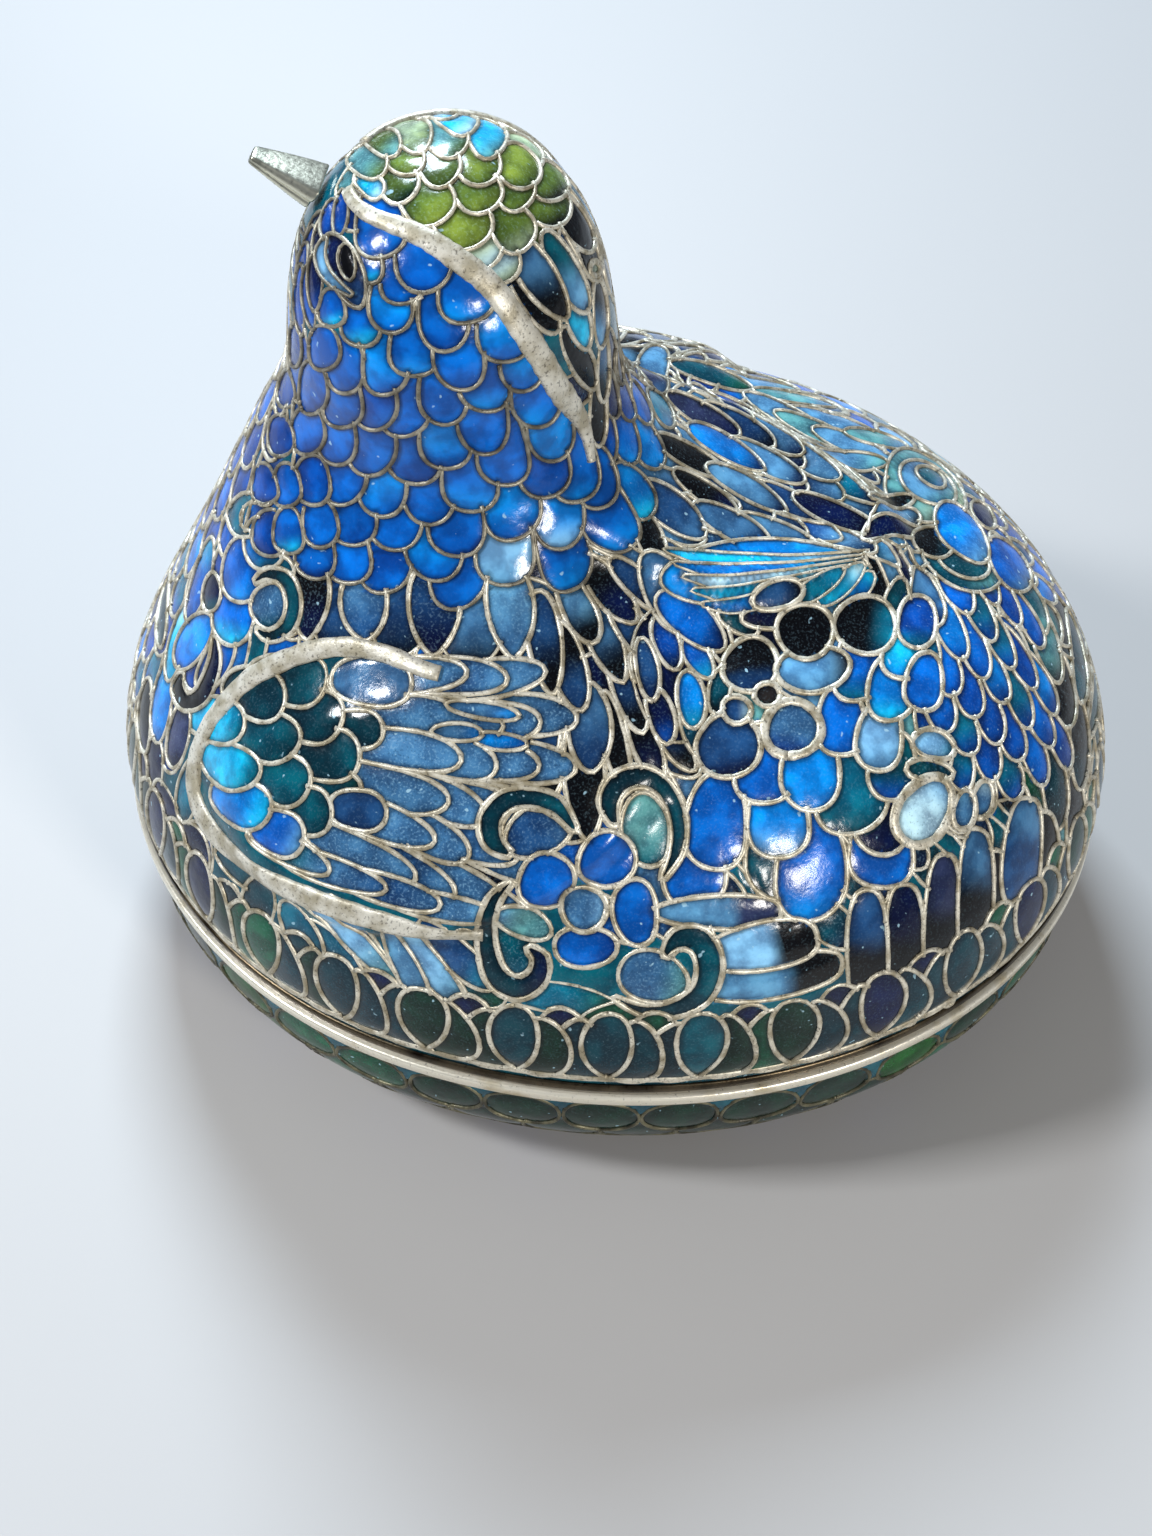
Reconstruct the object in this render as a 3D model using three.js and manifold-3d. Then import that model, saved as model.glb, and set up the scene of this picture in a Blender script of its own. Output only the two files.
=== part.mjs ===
// Enamelled box in the form of a sitting quail: a shallow oval bowl with a bright rim, and a hollow
// bird that lifts off it as the lid. Millimetres, +Z up, beak towards -X, tail towards +X.
// The origin is the centre of the flat underside.
import * as THREE from 'three';
import { mergeVertices } from 'three/addons/utils/BufferGeometryUtils.js';
import Module from 'manifold-3d';

// Overall sizes of the bird
const birdLength = 107.6;
const birdWidth = 92.6;
const lidHeight = 74.3;

// Base bowl
const bowlDepth = 16.2;
const bowlWall = 1.5;
const footInset = 0.25;
const bowlFullness = 3.2;
const lipOverhang = 0.4;

// Bright rim of the base, with the upright flange that locates the lid
const lipHeight = 1.4;
const flangeWall = 0.8;
const flangeRise = 2.2;

// Lid
const lidWall = 1.2;
const lidInset = 0.5;
const tuckHeight = 2.6;
const lidRimHeight = 1.2;
const jointGap = 0.3;
const flangeClearance = 0.7;

// Raised forms and metal bands on the bird
const wingSwell = 1.3;
const creaseRise = 1.3;
const creaseTrough = 0.9;
const bandWidth = 2.1;
const bandRise = 0.35;
const bandSink = 0.8;

// Beak
const beakLength = 6.2;
const beakWidth = 5.2;
const beakHeight = 3.6;
const beakTilt = 28.5;
const beakTipShare = 0.36;
const mouthGroove = 0.28;

// Fineness of the facets
const columns = 60;
const innerColumns = 30;

// Heights of the stacked pieces, from the underside up
const lipBottom = bowlDepth + jointGap;
const lipTop = lipBottom + lipHeight;
const lidRimBottom = lipTop + jointGap;
const lidRimTop = lidRimBottom + lidRimHeight;
const lidBase = lidRimTop + jointGap;
const flangeTop = lidRimTop + flangeRise;

const radians = THREE.MathUtils.degToRad;
const clamp = THREE.MathUtils.clamp;
const smooth = (t) => THREE.MathUtils.smoothstep(t, 0, 1);

// The bird is a smooth blend of four egg shapes. Places and radii are shares of the bird's
// length (x), width (y) and lid height (z); blend is a share of the length.
const forms = [
  { x: -0.0056, z: 0.0175, rx: 0.5, ry: 0.5, rz: 0.494, pitch: 1.0, blend: 0 },
  { x: -0.12, z: 0.117, rx: 0.263, ry: 0.393, rz: 0.4186, pitch: 0, blend: 0.1115 },
  { x: -0.1775, z: 0.444, rx: 0.1738, ry: 0.1803, rz: 0.428, pitch: -13.2, blend: 0.13 },
  { x: -0.1515, z: 0.7954, rx: 0.1338, ry: 0.1728, rz: 0.2046, pitch: 0, blend: 0.0558 },
];
const head = forms[3];

function toPoint(shareX, shareY, shareZ) {
  return new THREE.Vector3(shareX * birdLength, shareY * birdWidth, lidBase + shareZ * lidHeight);
}

// Nearly the distance from a point to an egg shape's surface, negative inside
function eggDistance(point, form) {
  const centre = toPoint(form.x, 0, form.z);
  const [rx, ry, rz] = [form.rx * birdLength, form.ry * birdWidth, form.rz * lidHeight];
  const cos = Math.cos(radians(form.pitch));
  const sin = Math.sin(radians(form.pitch));
  const dx = point.x - centre.x;
  const dz = point.z - centre.z;
  const along = dx * cos + dz * sin;
  const up = -dx * sin + dz * cos;
  const near = Math.hypot(along / rx, point.y / ry, up / rz);
  const far = Math.hypot(along / rx ** 2, point.y / ry ** 2, up / rz ** 2) + 1e-9;
  return (near * (near - 1)) / far;
}

function blended(a, b, width) {
  const h = clamp(0.5 + (0.5 * (b - a)) / width, 0, 1);
  return b * (1 - h) + a * h - width * h * (1 - h);
}

// A wing is a low swelling on each flank, an oval in side view that rises towards the tail,
// with a soft step at its edge; it fades out near the middle plane
const wing = { x: -0.13, z: 0.354, rx: 0.251, rz: 0.1413, pitch: 18, step: 0.25, fade: 0.075 };

function wingLift(point) {
  const centre = toPoint(wing.x, 0, wing.z);
  const cos = Math.cos(radians(wing.pitch));
  const sin = Math.sin(radians(wing.pitch));
  const dx = point.x - centre.x;
  const dz = point.z - centre.z;
  const along = (dx * cos + dz * sin) / (wing.rx * birdLength);
  const across = (-dx * sin + dz * cos) / (wing.rz * lidHeight);
  const edge = smooth((1 - Math.hypot(along, across)) / wing.step);
  return wingSwell * edge * smooth(Math.abs(point.y) / (wing.fade * birdWidth) - 1);
}

// The folded wings' upper edges run from the neck and meet over the rump: a crest with a
// trough outside it. The route is given in plan, as shares of length and width.
const creaseRoute = [
  [-0.0093, 0.0972],
  [0.0372, 0.1296],
  [0.0929, 0.1361],
  [0.158, 0.1037],
  [0.2416, 0.0281],
].map(([x, y]) => new THREE.Vector2(x * birdLength, y * birdWidth));
const creaseWidth = 0.0204 * birdLength;
const troughPlace = 0.0465 * birdLength;
const troughWidth = 0.0242 * birdLength;
const creaseFloor = 0.26;
const creaseCeiling = 0.6;
const creaseFade = 0.08;

function creaseLift(point) {
  const plan = new THREE.Vector2(point.x, Math.abs(point.y));
  let distance = Infinity;
  let side = 0;
  for (let i = 1; i < creaseRoute.length; i += 1) {
    const start = creaseRoute[i - 1];
    const run = creaseRoute[i].clone().sub(start);
    const offset = plan.clone().sub(start);
    const share = clamp(offset.dot(run) / run.lengthSq(), 0, 1);
    offset.addScaledVector(run, -share);
    if (offset.length() < distance) {
      distance = offset.length();
      side = run.cross(offset);
    }
  }
  const height = (point.z - lidBase) / lidHeight;
  const fade = smooth((height - creaseFloor) / creaseFade) * smooth((creaseCeiling - height) / creaseFade);
  const crest = creaseRise * Math.exp(-((distance / creaseWidth) ** 2));
  const dip = creaseTrough * Math.exp(-(((distance - troughPlace) / troughWidth) ** 2));
  return fade * (crest - (side > 0 ? dip : 0));
}

// The bird's surface is where this is zero; the lowest edge is drawn in by the lid's inset
function birdDistance(point) {
  let distance = eggDistance(point, forms[0]);
  for (const form of forms.slice(1)) {
    distance = blended(distance, eggDistance(point, form), form.blend * birdLength);
  }
  const tuck = lidInset * Math.exp(-(((point.z - lidBase) / tuckHeight) ** 2));
  return distance - wingLift(point) - creaseLift(point) + tuck;
}

// First point along a ray from inside where the bird's distance passes a level
function castRay(origin, direction, level) {
  const step = 0.8;
  const halvings = 24;
  const at = (reach) => birdDistance(origin.clone().addScaledVector(direction, reach)) - level;
  let outer = step;
  while (at(outer) < 0) {
    outer += step;
  }
  let inner = outer - step;
  for (let i = 0; i < halvings; i += 1) {
    const middle = (inner + outer) / 2;
    if (at(middle) < 0) {
      inner = middle;
    } else {
      outer = middle;
    }
  }
  return origin.clone().addScaledVector(direction, (inner + outer) / 2);
}

// Rings run from the lid's edge to the back of the crown. Each is cut by a cone round a leaning
// axis: over the body the cone narrows from flat to the neck, up the neck its tip rises and it
// opens again while its lean turns back, and over the head it closes to a point.
const neckAngle = 30;
const neckReach = 0.172;
const neckLean = 14;
const headLean = -36;

function ringCone(zone, share) {
  const low = new THREE.Vector3(0, 0, lidBase);
  const high = toPoint(head.x, 0, head.z);
  if (zone === 'body') {
    return { tip: low, lean: neckLean * smooth(share), angle: 90 + (neckAngle - 90) * share };
  }
  if (zone === 'head') {
    return { tip: high, lean: headLean, angle: 90 * (1 - share) };
  }
  const angle = neckAngle + (90 - neckAngle) * share;
  const behind = (opening) => (neckReach * birdLength) / Math.tan(radians(opening));
  const axis = low.distanceTo(high);
  const climb = behind(neckAngle) + (axis - behind(neckAngle)) * share - behind(angle);
  return { tip: low.lerp(high, climb / axis), lean: neckLean + (headLean - neckLean) * smooth(share), angle };
}

function ringOf(zone, share, count, level) {
  const { tip, lean, angle } = ringCone(zone, share);
  const points = [];
  for (let i = 0; i < count; i += 1) {
    const turn = (2 * Math.PI * i) / count;
    const spread = Math.sin(radians(angle));
    const [x, y] = [-spread * Math.cos(turn), -spread * Math.sin(turn)];
    const z = Math.cos(radians(angle));
    const tilt = radians(lean);
    const direction = new THREE.Vector3(
      x * Math.cos(tilt) - z * Math.sin(tilt),
      y,
      x * Math.sin(tilt) + z * Math.cos(tilt),
    );
    points.push(castRay(tip, direction, level));
  }
  return points;
}

// Rings of points joined into a closed surface. Neighbouring rings have the same count or one
// has twice the other's; a ring of one point is a pole.
function joinRings(rings, closed) {
  const positions = rings.flat().flatMap((p) => [p.x, p.y, p.z]);
  const starts = [];
  rings.reduce((total, ring) => {
    starts.push(total);
    return total + ring.length;
  }, 0);
  const index = [];
  const pairs = closed ? rings.length : rings.length - 1;
  for (let r = 0; r < pairs; r += 1) {
    const next = (r + 1) % rings.length;
    const [below, above] = [rings[r].length, rings[next].length];
    const count = Math.max(below, above);
    for (let i = 0; i < count; i += 1) {
      const a = starts[r] + (Math.floor((i * below) / count) % below);
      const b = starts[r] + (Math.floor(((i + 1) * below) / count) % below);
      const c = starts[next] + (Math.floor(((i + 1) * above) / count) % above);
      const d = starts[next] + (Math.floor((i * above) / count) % above);
      if (a !== b) {
        index.push(a, b, c);
      }
      if (c !== d) {
        index.push(a, c, d);
      }
    }
  }
  const geometry = new THREE.BufferGeometry();
  geometry.setAttribute('position', new THREE.Float32BufferAttribute(positions, 3));
  geometry.setIndex(index);
  return geometry;
}

// The lid's hollow shell: inner wall from the crown down, then the outer wall up to the crown
function shellGeometry() {
  const zones = [
    { zone: 'body', outer: 15, inner: 8 },
    { zone: 'neck', outer: 7, inner: 4 },
    { zone: 'head', outer: 7, inner: 4 },
  ];
  const rows = (side, count, level) => zones.flatMap(({ zone, ...steps }) =>
    Array.from({ length: steps[side] }, (_, i) => ringOf(zone, i / steps[side], count, level)));
  const outer = [...rows('outer', columns, 0), ringOf('head', 1, 1, 0)];
  const inner = [...rows('inner', innerColumns, -lidWall), ringOf('head', 1, 1, -lidWall)];
  return joinRings([...inner.reverse(), ...outer], false);
}

// Point on the flank at a side-view place, and the outward direction there
function flankPoint(x, z, side) {
  const origin = new THREE.Vector3(x, 0, z);
  return castRay(origin, new THREE.Vector3(0, side, 0), 0);
}

function outward(point) {
  const reach = 0.3;
  const slope = (axis) => birdDistance(point.clone().addScaledVector(axis, reach))
    - birdDistance(point.clone().addScaledVector(axis, -reach));
  return new THREE.Vector3(
    slope(new THREE.Vector3(1, 0, 0)),
    slope(new THREE.Vector3(0, 1, 0)),
    slope(new THREE.Vector3(0, 0, 1)),
  ).normalize();
}

// A flat metal band laid on the flank along a side-view route, bedded into the shell
function bandGeometry(route, side, steps) {
  const curve = new THREE.CatmullRomCurve3(route.map(([x, z]) => toPoint(x, 0, z)));
  const places = curve.getSpacedPoints(steps).map((p) => flankPoint(p.x, p.z, side));
  const rings = places.map((place, i) => {
    const before = places[Math.max(i - 1, 0)];
    const after = places[Math.min(i + 1, steps)];
    const up = outward(place);
    const across = up.clone().cross(after.clone().sub(before)).normalize();
    const corner = (edge, level) => {
      const beside = place.clone().addScaledVector(across, (edge * bandWidth) / 2);
      return beside.addScaledVector(up, level - birdDistance(beside));
    };
    return [corner(1, bandRise), corner(-1, bandRise), corner(-1, -bandSink), corner(1, -bandSink)];
  });
  const middle = (ring) => [ring.reduce((sum, p) => sum.add(p), new THREE.Vector3()).divideScalar(ring.length)];
  return joinRings([middle(rings[0]), ...rings, middle(rings[steps])], false);
}

// Front and lower edge of the wing, from its top round the shoulder to the flank
const wingBand = [
  [-0.128, 0.481], [-0.22, 0.468], [-0.295, 0.4], [-0.35, 0.305], [-0.367, 0.225],
  [-0.335, 0.198], [-0.25, 0.227], [-0.16, 0.241], [-0.072, 0.238],
];
// Brow stripe, from above the beak over the side of the head and down the nape
const browBand = [
  [-0.222, 0.963], [-0.165, 0.966], [-0.125, 0.948], [-0.09, 0.91], [-0.06, 0.836],
  [-0.04, 0.755], [-0.026, 0.695], [-0.018, 0.642],
];

// Outline of the bird's lower edge in plan, drawn in by an inset, at a height
function planRing(inset, height, share = 1) {
  return Array.from({ length: columns }, (_, i) => {
    const turn = (2 * Math.PI * i) / columns;
    const direction = new THREE.Vector3(-Math.cos(turn), -Math.sin(turn), 0);
    const edge = castRay(new THREE.Vector3(0, 0, lidBase), direction, lidInset);
    const reach = (edge.length() ** 2 - lidBase ** 2) ** 0.5 - inset;
    return direction.multiplyScalar(reach * share).setZ(height);
  });
}

// Bowl: the wall stands nearly upright under the rim and rounds in to a flat foot
function bowlGeometry() {
  const rows = 7;
  const narrowing = (drop) => 1 - footInset * drop ** bowlFullness;
  const outer = Array.from({ length: rows + 1 }, (_, i) => {
    const drop = 1 - i / rows;
    return planRing(lipOverhang, bowlDepth * (1 - drop), narrowing(drop));
  });
  const innerRows = 5;
  const inner = Array.from({ length: innerRows + 1 }, (_, i) => {
    const height = bowlDepth + ((bowlWall - bowlDepth) * i) / innerRows;
    return planRing(lipOverhang + bowlWall, height, narrowing(1 - height / bowlDepth));
  });
  const centre = (height) => [new THREE.Vector3(0, 0, height)];
  return joinRings([centre(0), ...outer, ...inner, centre(bowlWall)], false);
}

// Rim of the base: a lip under the lid's edge and an upright flange inside it
function baseRimGeometry() {
  const flangeOuter = lidInset + lidWall + flangeClearance;
  const flangeInner = flangeOuter + flangeWall;
  const profile = [
    [0, lipBottom], [0, lipTop], [flangeOuter, lipTop], [flangeOuter, flangeTop],
    [flangeInner, flangeTop], [flangeInner, lipBottom],
  ];
  return joinRings(profile.map(([inset, height]) => planRing(inset, height)), true);
}

function lidRimGeometry() {
  const [outer, inner] = [lidInset, lidInset + lidWall];
  const profile = [
    [outer, lidRimBottom], [outer, lidRimTop], [inner, lidRimTop], [inner, lidRimBottom],
  ];
  return joinRings(profile.map(([inset, height]) => planRing(inset, height)), true);
}

// Beak: a blunt tapered wedge, flat on top and ridged below, with the mouth line pressed into
// its sides. Its root follows the head at the joint gap.
function beakGeometry() {
  const direction = new THREE.Vector3(-Math.cos(radians(beakTilt)), 0, Math.sin(radians(beakTilt)));
  const up = new THREE.Vector3(Math.sin(radians(beakTilt)), 0, Math.cos(radians(beakTilt)));
  const axis = toPoint(head.x - 0.094, 0, head.z + 0.1205);
  const rows = 6;
  // half-width and height shares of the section, from the top's middle round one side
  const half = [[0, 0.5], [0.75, 0.42], [1, 0.12], [1 - mouthGroove, 0], [0.9, -0.12], [0.5, -0.4]];
  const mirrored = half.slice(1).reverse().map(([w, h]) => [-w, h]);
  const section = [...half, [0, -0.5], ...mirrored];
  const root = castRay(axis, direction, jointGap);
  const rings = Array.from({ length: rows + 1 }, (_, i) => {
    const share = i / rows;
    const size = 1 + (beakTipShare - 1) * share ** 1.15;
    return section.map(([w, h]) => {
      const offset = up.clone().multiplyScalar(h * beakHeight * size);
      offset.y = (w * beakWidth * size) / 2;
      const base = castRay(axis.clone().add(offset), direction, jointGap);
      const tip = root.clone().add(offset).addScaledVector(direction, beakLength);
      return base.lerp(tip, share);
    });
  });
  const middle = (ring) => [ring.reduce((sum, p) => sum.add(p), new THREE.Vector3()).divideScalar(ring.length)];
  return joinRings([[root.clone()], ...rings, middle(rings[rows])], false);
}

const wasm = await Module();
wasm.setup();

function toSolid(geometry) {
  const merged = mergeVertices(geometry);
  return new wasm.Manifold(new wasm.Mesh({
    numProp: 3,
    vertProperties: new Float32Array(merged.attributes.position.array),
    triVerts: new Uint32Array(merged.index.array),
  }));
}

function fromSolid(solid) {
  const mesh = solid.getMesh();
  const geometry = new THREE.BufferGeometry();
  geometry.setAttribute('position', new THREE.Float32BufferAttribute(mesh.vertProperties, 3));
  geometry.setIndex(Array.from(mesh.triVerts));
  return geometry;
}

// The shell with its four bands joined on
function lidGeometry() {
  let solid = toSolid(shellGeometry());
  for (const side of [-1, 1]) {
    solid = solid.add(toSolid(bandGeometry(wingBand, side, 24)));
    solid = solid.add(toSolid(bandGeometry(browBand, side, 16)));
  }
  return fromSolid(solid);
}

const enamel = { roughness: 0.15, metalness: 0 };
const metal = { roughness: 0.35, metalness: 1 };
const pieces = [
  ['base_bowl', bowlGeometry(), { color: 0x1d5a3a, ...enamel }],
  ['base_rim', baseRimGeometry(), { color: 0xd9d2bd, ...metal }],
  ['lid_shell', lidGeometry(), { color: 0x1a5aa8, ...enamel }],
  ['lid_rim', lidRimGeometry(), { color: 0x8f7a52, ...metal }],
  ['beak', beakGeometry(), { color: 0xb9b8a8, ...metal }],
];

const box = new THREE.Group();
for (const [name, geometry, finish] of pieces) {
  geometry.computeVertexNormals();
  const mesh = new THREE.Mesh(geometry, new THREE.MeshStandardMaterial(finish));
  mesh.name = name;
  box.add(mesh);
}

export default box;
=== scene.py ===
"""Looks of an enamelled lidded box in the form of a sitting quail.

The bird's skin is worked out as a grid on its smooth form. Cells of enamel are laid on that form
one over another, like fish scales, and each cell's visible edge becomes a bent wire.
Lengths are millimetres until a mesh is made, and metres in the meshes.
"""

import bpy
import numpy as np
from mathutils import Matrix


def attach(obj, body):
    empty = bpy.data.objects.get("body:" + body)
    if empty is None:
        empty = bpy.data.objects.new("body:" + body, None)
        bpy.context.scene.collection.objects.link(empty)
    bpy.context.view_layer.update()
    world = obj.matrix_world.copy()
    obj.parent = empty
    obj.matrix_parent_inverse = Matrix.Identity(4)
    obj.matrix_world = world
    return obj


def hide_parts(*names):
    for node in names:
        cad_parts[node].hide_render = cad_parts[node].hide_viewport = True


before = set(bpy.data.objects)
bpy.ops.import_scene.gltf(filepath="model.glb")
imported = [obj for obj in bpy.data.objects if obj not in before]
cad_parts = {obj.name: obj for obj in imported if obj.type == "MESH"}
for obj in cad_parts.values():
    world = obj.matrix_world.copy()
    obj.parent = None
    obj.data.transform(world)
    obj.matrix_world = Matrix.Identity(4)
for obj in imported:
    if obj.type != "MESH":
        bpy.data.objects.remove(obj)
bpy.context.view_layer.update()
RANDOM = np.random.default_rng(7)
MM = 0.001

# Sizes of the box
BIRD_LENGTH, BIRD_WIDTH, LID_HEIGHT = 107.6, 92.6, 74.3
LID_BASE = 19.7
LID_INSET, TUCK_HEIGHT, LID_WALL = 0.5, 2.6, 1.2
LIP_BOTTOM, LIP_TOP = 16.5, 17.9
LID_RIM_BOTTOM, LID_RIM_TOP = 18.2, 19.4
FLANGE_OUTER, FLANGE_INNER, FLANGE_TOP = 2.4, 3.2, 21.6
BOWL_DEPTH, BOWL_WALL, FOOT_INSET, BOWL_FULLNESS, LIP_OVERHANG = 16.2, 1.5, 0.25, 3.2, 0.4
WING_SWELL, CREASE_RISE, CREASE_TROUGH = 1.3, 1.3, 0.9
JOINT_GAP = 0.3

# Levels of the finish, measured from the form's surface
WIRE_TOP, WIRE_SHOULDER, WIRE_FOOT = -0.04, -0.16, -0.55
GLAZE_AT_WIRE, GLAZE_DOME = -0.31, 0.17
DOME_REACH = 1.5
BAND_TOP = 0.3
FOOT_WIRE, FOOT_WIRE_HEIGHT = 0.9, 0.75

# How cells differ in shape, shade and wire, and how they cover one another
LEAF_WAVES = 0.035, 0.03
SHADES, FAR_SHADES, WIRE_WIDTHS = (0.84, 1.16), (0.85, 1.15), (0.86, 1.14)
FACING, COVER_SHARE, SHORTEST_RUN = 0.15, 0.985, 3

# The photograph's frame and the camera that took it
PHOTO_WIDTH, PHOTO_HEIGHT = 1152, 1536
LENS_PIXELS = 2130
CAMERA_TURN, CAMERA_RISE, CAMERA_REACH = np.radians(7.6), np.radians(50.1), 214.6
AIM = np.array([-2.1, -18.5, 35.0])
SENSOR = 36.0

# The most millimetres that a pixel of a drawn cell may cover, and the step that measures them
OUTLINE_LIMIT, PROBE = 0.2, 3.0

# Rays go this share of the distance left in each step, and start this far off
STEP_SHARE, FAR_OFF, NEAR_BY = 0.8, 110.0, 5.0

# Enamel colours, as red, green, blue from 0 to 255
GLAZES = {
    "cobalt": (0, 100, 198), "azure": (0, 132, 224), "royal": (0, 74, 162),
    "navy": (4, 24, 66), "teal": (0, 82, 98), "petrol": (0, 52, 64), "green": (6, 84, 60),
    "forest": (4, 46, 36), "slate": (64, 112, 156), "steel": (34, 74, 122),
    "sky": (124, 184, 228), "haze": (92, 152, 196), "black": (5, 7, 13),
    # The bright turquoise is painted reflection: it is laid on cells where glints of blue light fall on the
    # glaze.
    "cyan": (24, 186, 236), "olive": (88, 112, 48), "lime": (118, 140, 58),
    "sage": (176, 200, 160), "mist": (92, 156, 160), "plum": (50, 60, 96),
    "umber": (36, 34, 34), "sea": (8, 104, 132), "ice": (176, 218, 236), "moss": (22, 84, 34),
}


def linear(name, gain=1.0):
    """A palette colour in linear light: each share to the power 2.2, times a gain."""
    return gain * (np.array(GLAZES[name]) / 255.0) ** 2.2


# The bird's form

FORMS = [
    dict(x=-0.0056, z=0.0175, rx=0.5, ry=0.5, rz=0.494, pitch=1.0, blend=0.0),
    dict(x=-0.12, z=0.117, rx=0.263, ry=0.393, rz=0.4186, pitch=0.0, blend=0.1115),
    dict(x=-0.1775, z=0.444, rx=0.1738, ry=0.1803, rz=0.428, pitch=-13.2, blend=0.13),
    dict(x=-0.1515, z=0.7954, rx=0.1338, ry=0.1728, rz=0.2046, pitch=0.0, blend=0.0558),
]
WING = dict(x=-0.13, z=0.354, rx=0.251, rz=0.1413, pitch=18.0, step=0.25, fade=0.075)
CREASE_ROUTE = [(-0.0093, 0.0972), (0.0372, 0.1296), (0.0929, 0.1361), (0.158, 0.1037), (0.2416, 0.0281)]
CREASE_WIDTH, TROUGH_PLACE, TROUGH_WIDTH = 0.0204, 0.0465, 0.0242
CREASE_FLOOR, CREASE_CEILING, CREASE_FADE = 0.26, 0.6, 0.08
NECK_ANGLE, NECK_REACH, NECK_LEAN, HEAD_LEAN = 30.0, 0.172, 14.0, -36.0


def smooth(t):
    """Rises from 0 to 1 without corners: 3 t squared minus 2 t cubed, held at both ends."""
    t = np.clip(t, 0, 1)
    return t * t * (3 - 2 * t)


def from_shares(x, y, z):
    return np.array([x * BIRD_LENGTH, y * BIRD_WIDTH, LID_BASE + z * LID_HEIGHT])


def cos_sin(degrees):
    return np.cos(np.radians(degrees)), np.sin(np.radians(degrees))


def pitched(x, z, form):
    """Offsets from a form's centre, along its pitched axis and square to it."""
    centre = from_shares(form["x"], 0, form["z"])
    cos, sin = cos_sin(form["pitch"])
    dx, dz = x - centre[0], z - centre[2]
    return dx * cos + dz * sin, -dx * sin + dz * cos


def egg_distance(x, y, z, form):
    """Nearly the distance to an egg's surface: the scaled radius k, times k - 1, over its slope."""
    rx, ry, rz = form["rx"] * BIRD_LENGTH, form["ry"] * BIRD_WIDTH, form["rz"] * LID_HEIGHT
    along, up = pitched(x, z, form)
    near = np.sqrt((along / rx) ** 2 + (y / ry) ** 2 + (up / rz) ** 2)
    far = np.sqrt((along / rx**2) ** 2 + (y / ry**2) ** 2 + (up / rz**2) ** 2) + 1e-9
    return near * (near - 1) / far


def wing_lift(x, y, z):
    """A low oval swelling on each flank with a soft step at its edge."""
    along, up = pitched(x, z, WING)
    share = np.hypot(along / (WING["rx"] * BIRD_LENGTH), up / (WING["rz"] * LID_HEIGHT))
    edge = smooth((1 - share) / WING["step"])
    return WING_SWELL * edge * smooth(np.abs(y) / (WING["fade"] * BIRD_WIDTH) - 1)


def crease_lift(x, y, z):
    """A crest along the folded wings' upper edges and a trough outside it, both bell curves
    of the distance to the route in plan."""
    plan = np.stack([x, np.abs(y)], -1)
    route = np.array(CREASE_ROUTE) * (BIRD_LENGTH, BIRD_WIDTH)
    best = np.full(x.shape, np.inf)
    side = np.zeros(x.shape)
    for start, end in zip(route[:-1], route[1:]):
        run = end - start
        share = np.clip((plan - start) @ run / (run @ run), 0, 1)
        offset = plan - start - share[..., None] * run
        distance = np.hypot(offset[..., 0], offset[..., 1])
        nearer = distance < best
        best = np.where(nearer, distance, best)
        side = np.where(nearer, run[0] * offset[..., 1] - run[1] * offset[..., 0], side)
    height = (z - LID_BASE) / LID_HEIGHT
    fade = smooth((height - CREASE_FLOOR) / CREASE_FADE) * smooth((CREASE_CEILING - height) / CREASE_FADE)
    crest = CREASE_RISE * np.exp(-((best / (CREASE_WIDTH * BIRD_LENGTH)) ** 2))
    outside = (best - TROUGH_PLACE * BIRD_LENGTH) / (TROUGH_WIDTH * BIRD_LENGTH)
    return fade * (crest - np.where(side > 0, CREASE_TROUGH * np.exp(-(outside**2)), 0))


def bird_distance(points):
    """The bird's surface is where this is zero: four eggs, each blended into the sum before."""
    x, y, z = points[..., 0], points[..., 1], points[..., 2]
    distance = egg_distance(x, y, z, FORMS[0])
    for form in FORMS[1:]:
        other, width = egg_distance(x, y, z, form), form["blend"] * BIRD_LENGTH
        h = np.clip(0.5 + 0.5 * (other - distance) / width, 0, 1)
        distance = other * (1 - h) + distance * h - width * h * (1 - h)
    tuck = LID_INSET * np.exp(-(((z - LID_BASE) / TUCK_HEIGHT) ** 2))
    return distance - wing_lift(x, y, z) - crease_lift(x, y, z) + tuck


def unit(vectors):
    return vectors / (np.linalg.norm(vectors, axis=-1, keepdims=True) + 1e-12)


def bird_slope(points, reach=0.25):
    """Gradient of the bird's distance by differences over a short reach on each axis."""
    steps = reach * np.eye(3)
    rises = [bird_distance(points + step) - bird_distance(points - step) for step in steps]
    return np.stack(rises, -1) / (2 * reach)


def on_bird(points):
    """Points moved onto the surface along the gradient, in three Newton steps."""
    for _ in range(3):
        slope = bird_slope(points)
        points = points - slope * (bird_distance(points) / (slope**2).sum(-1))[..., None]
    return points


def cast_in(origins, directions, reach=NEAR_BY):
    """Where rays from outside meet the bird: each step goes a share of the distance left, and a ray
    that misses stops where it was nearest."""
    steps, met, longest_step_back = 60, 0.01, 0.5
    origins, directions = np.broadcast_arrays(origins, directions)
    nearest, best = np.full(len(origins), np.inf), np.zeros(len(origins))
    reach = np.full(len(origins), reach)
    for _ in range(steps):
        distance = bird_distance(origins + directions * reach[:, None])
        better = np.abs(distance) < nearest
        nearest, best = np.where(better, np.abs(distance), nearest), np.where(better, reach, best)
        step = STEP_SHARE * np.maximum(distance, -longest_step_back)
        reach = reach + np.where(nearest < met, 0, step)
    return on_bird(origins + directions * best[:, None])


def cast_out(origins, directions, reach, level, steps=40):
    """How far rays from inside go until the bird's distance is at a level, from a first reach on."""
    reach = np.full(directions.shape[:-1], reach)
    for _ in range(steps):
        reach = reach - STEP_SHARE * (bird_distance(origins + directions * reach[..., None]) - level)
    return reach


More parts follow.
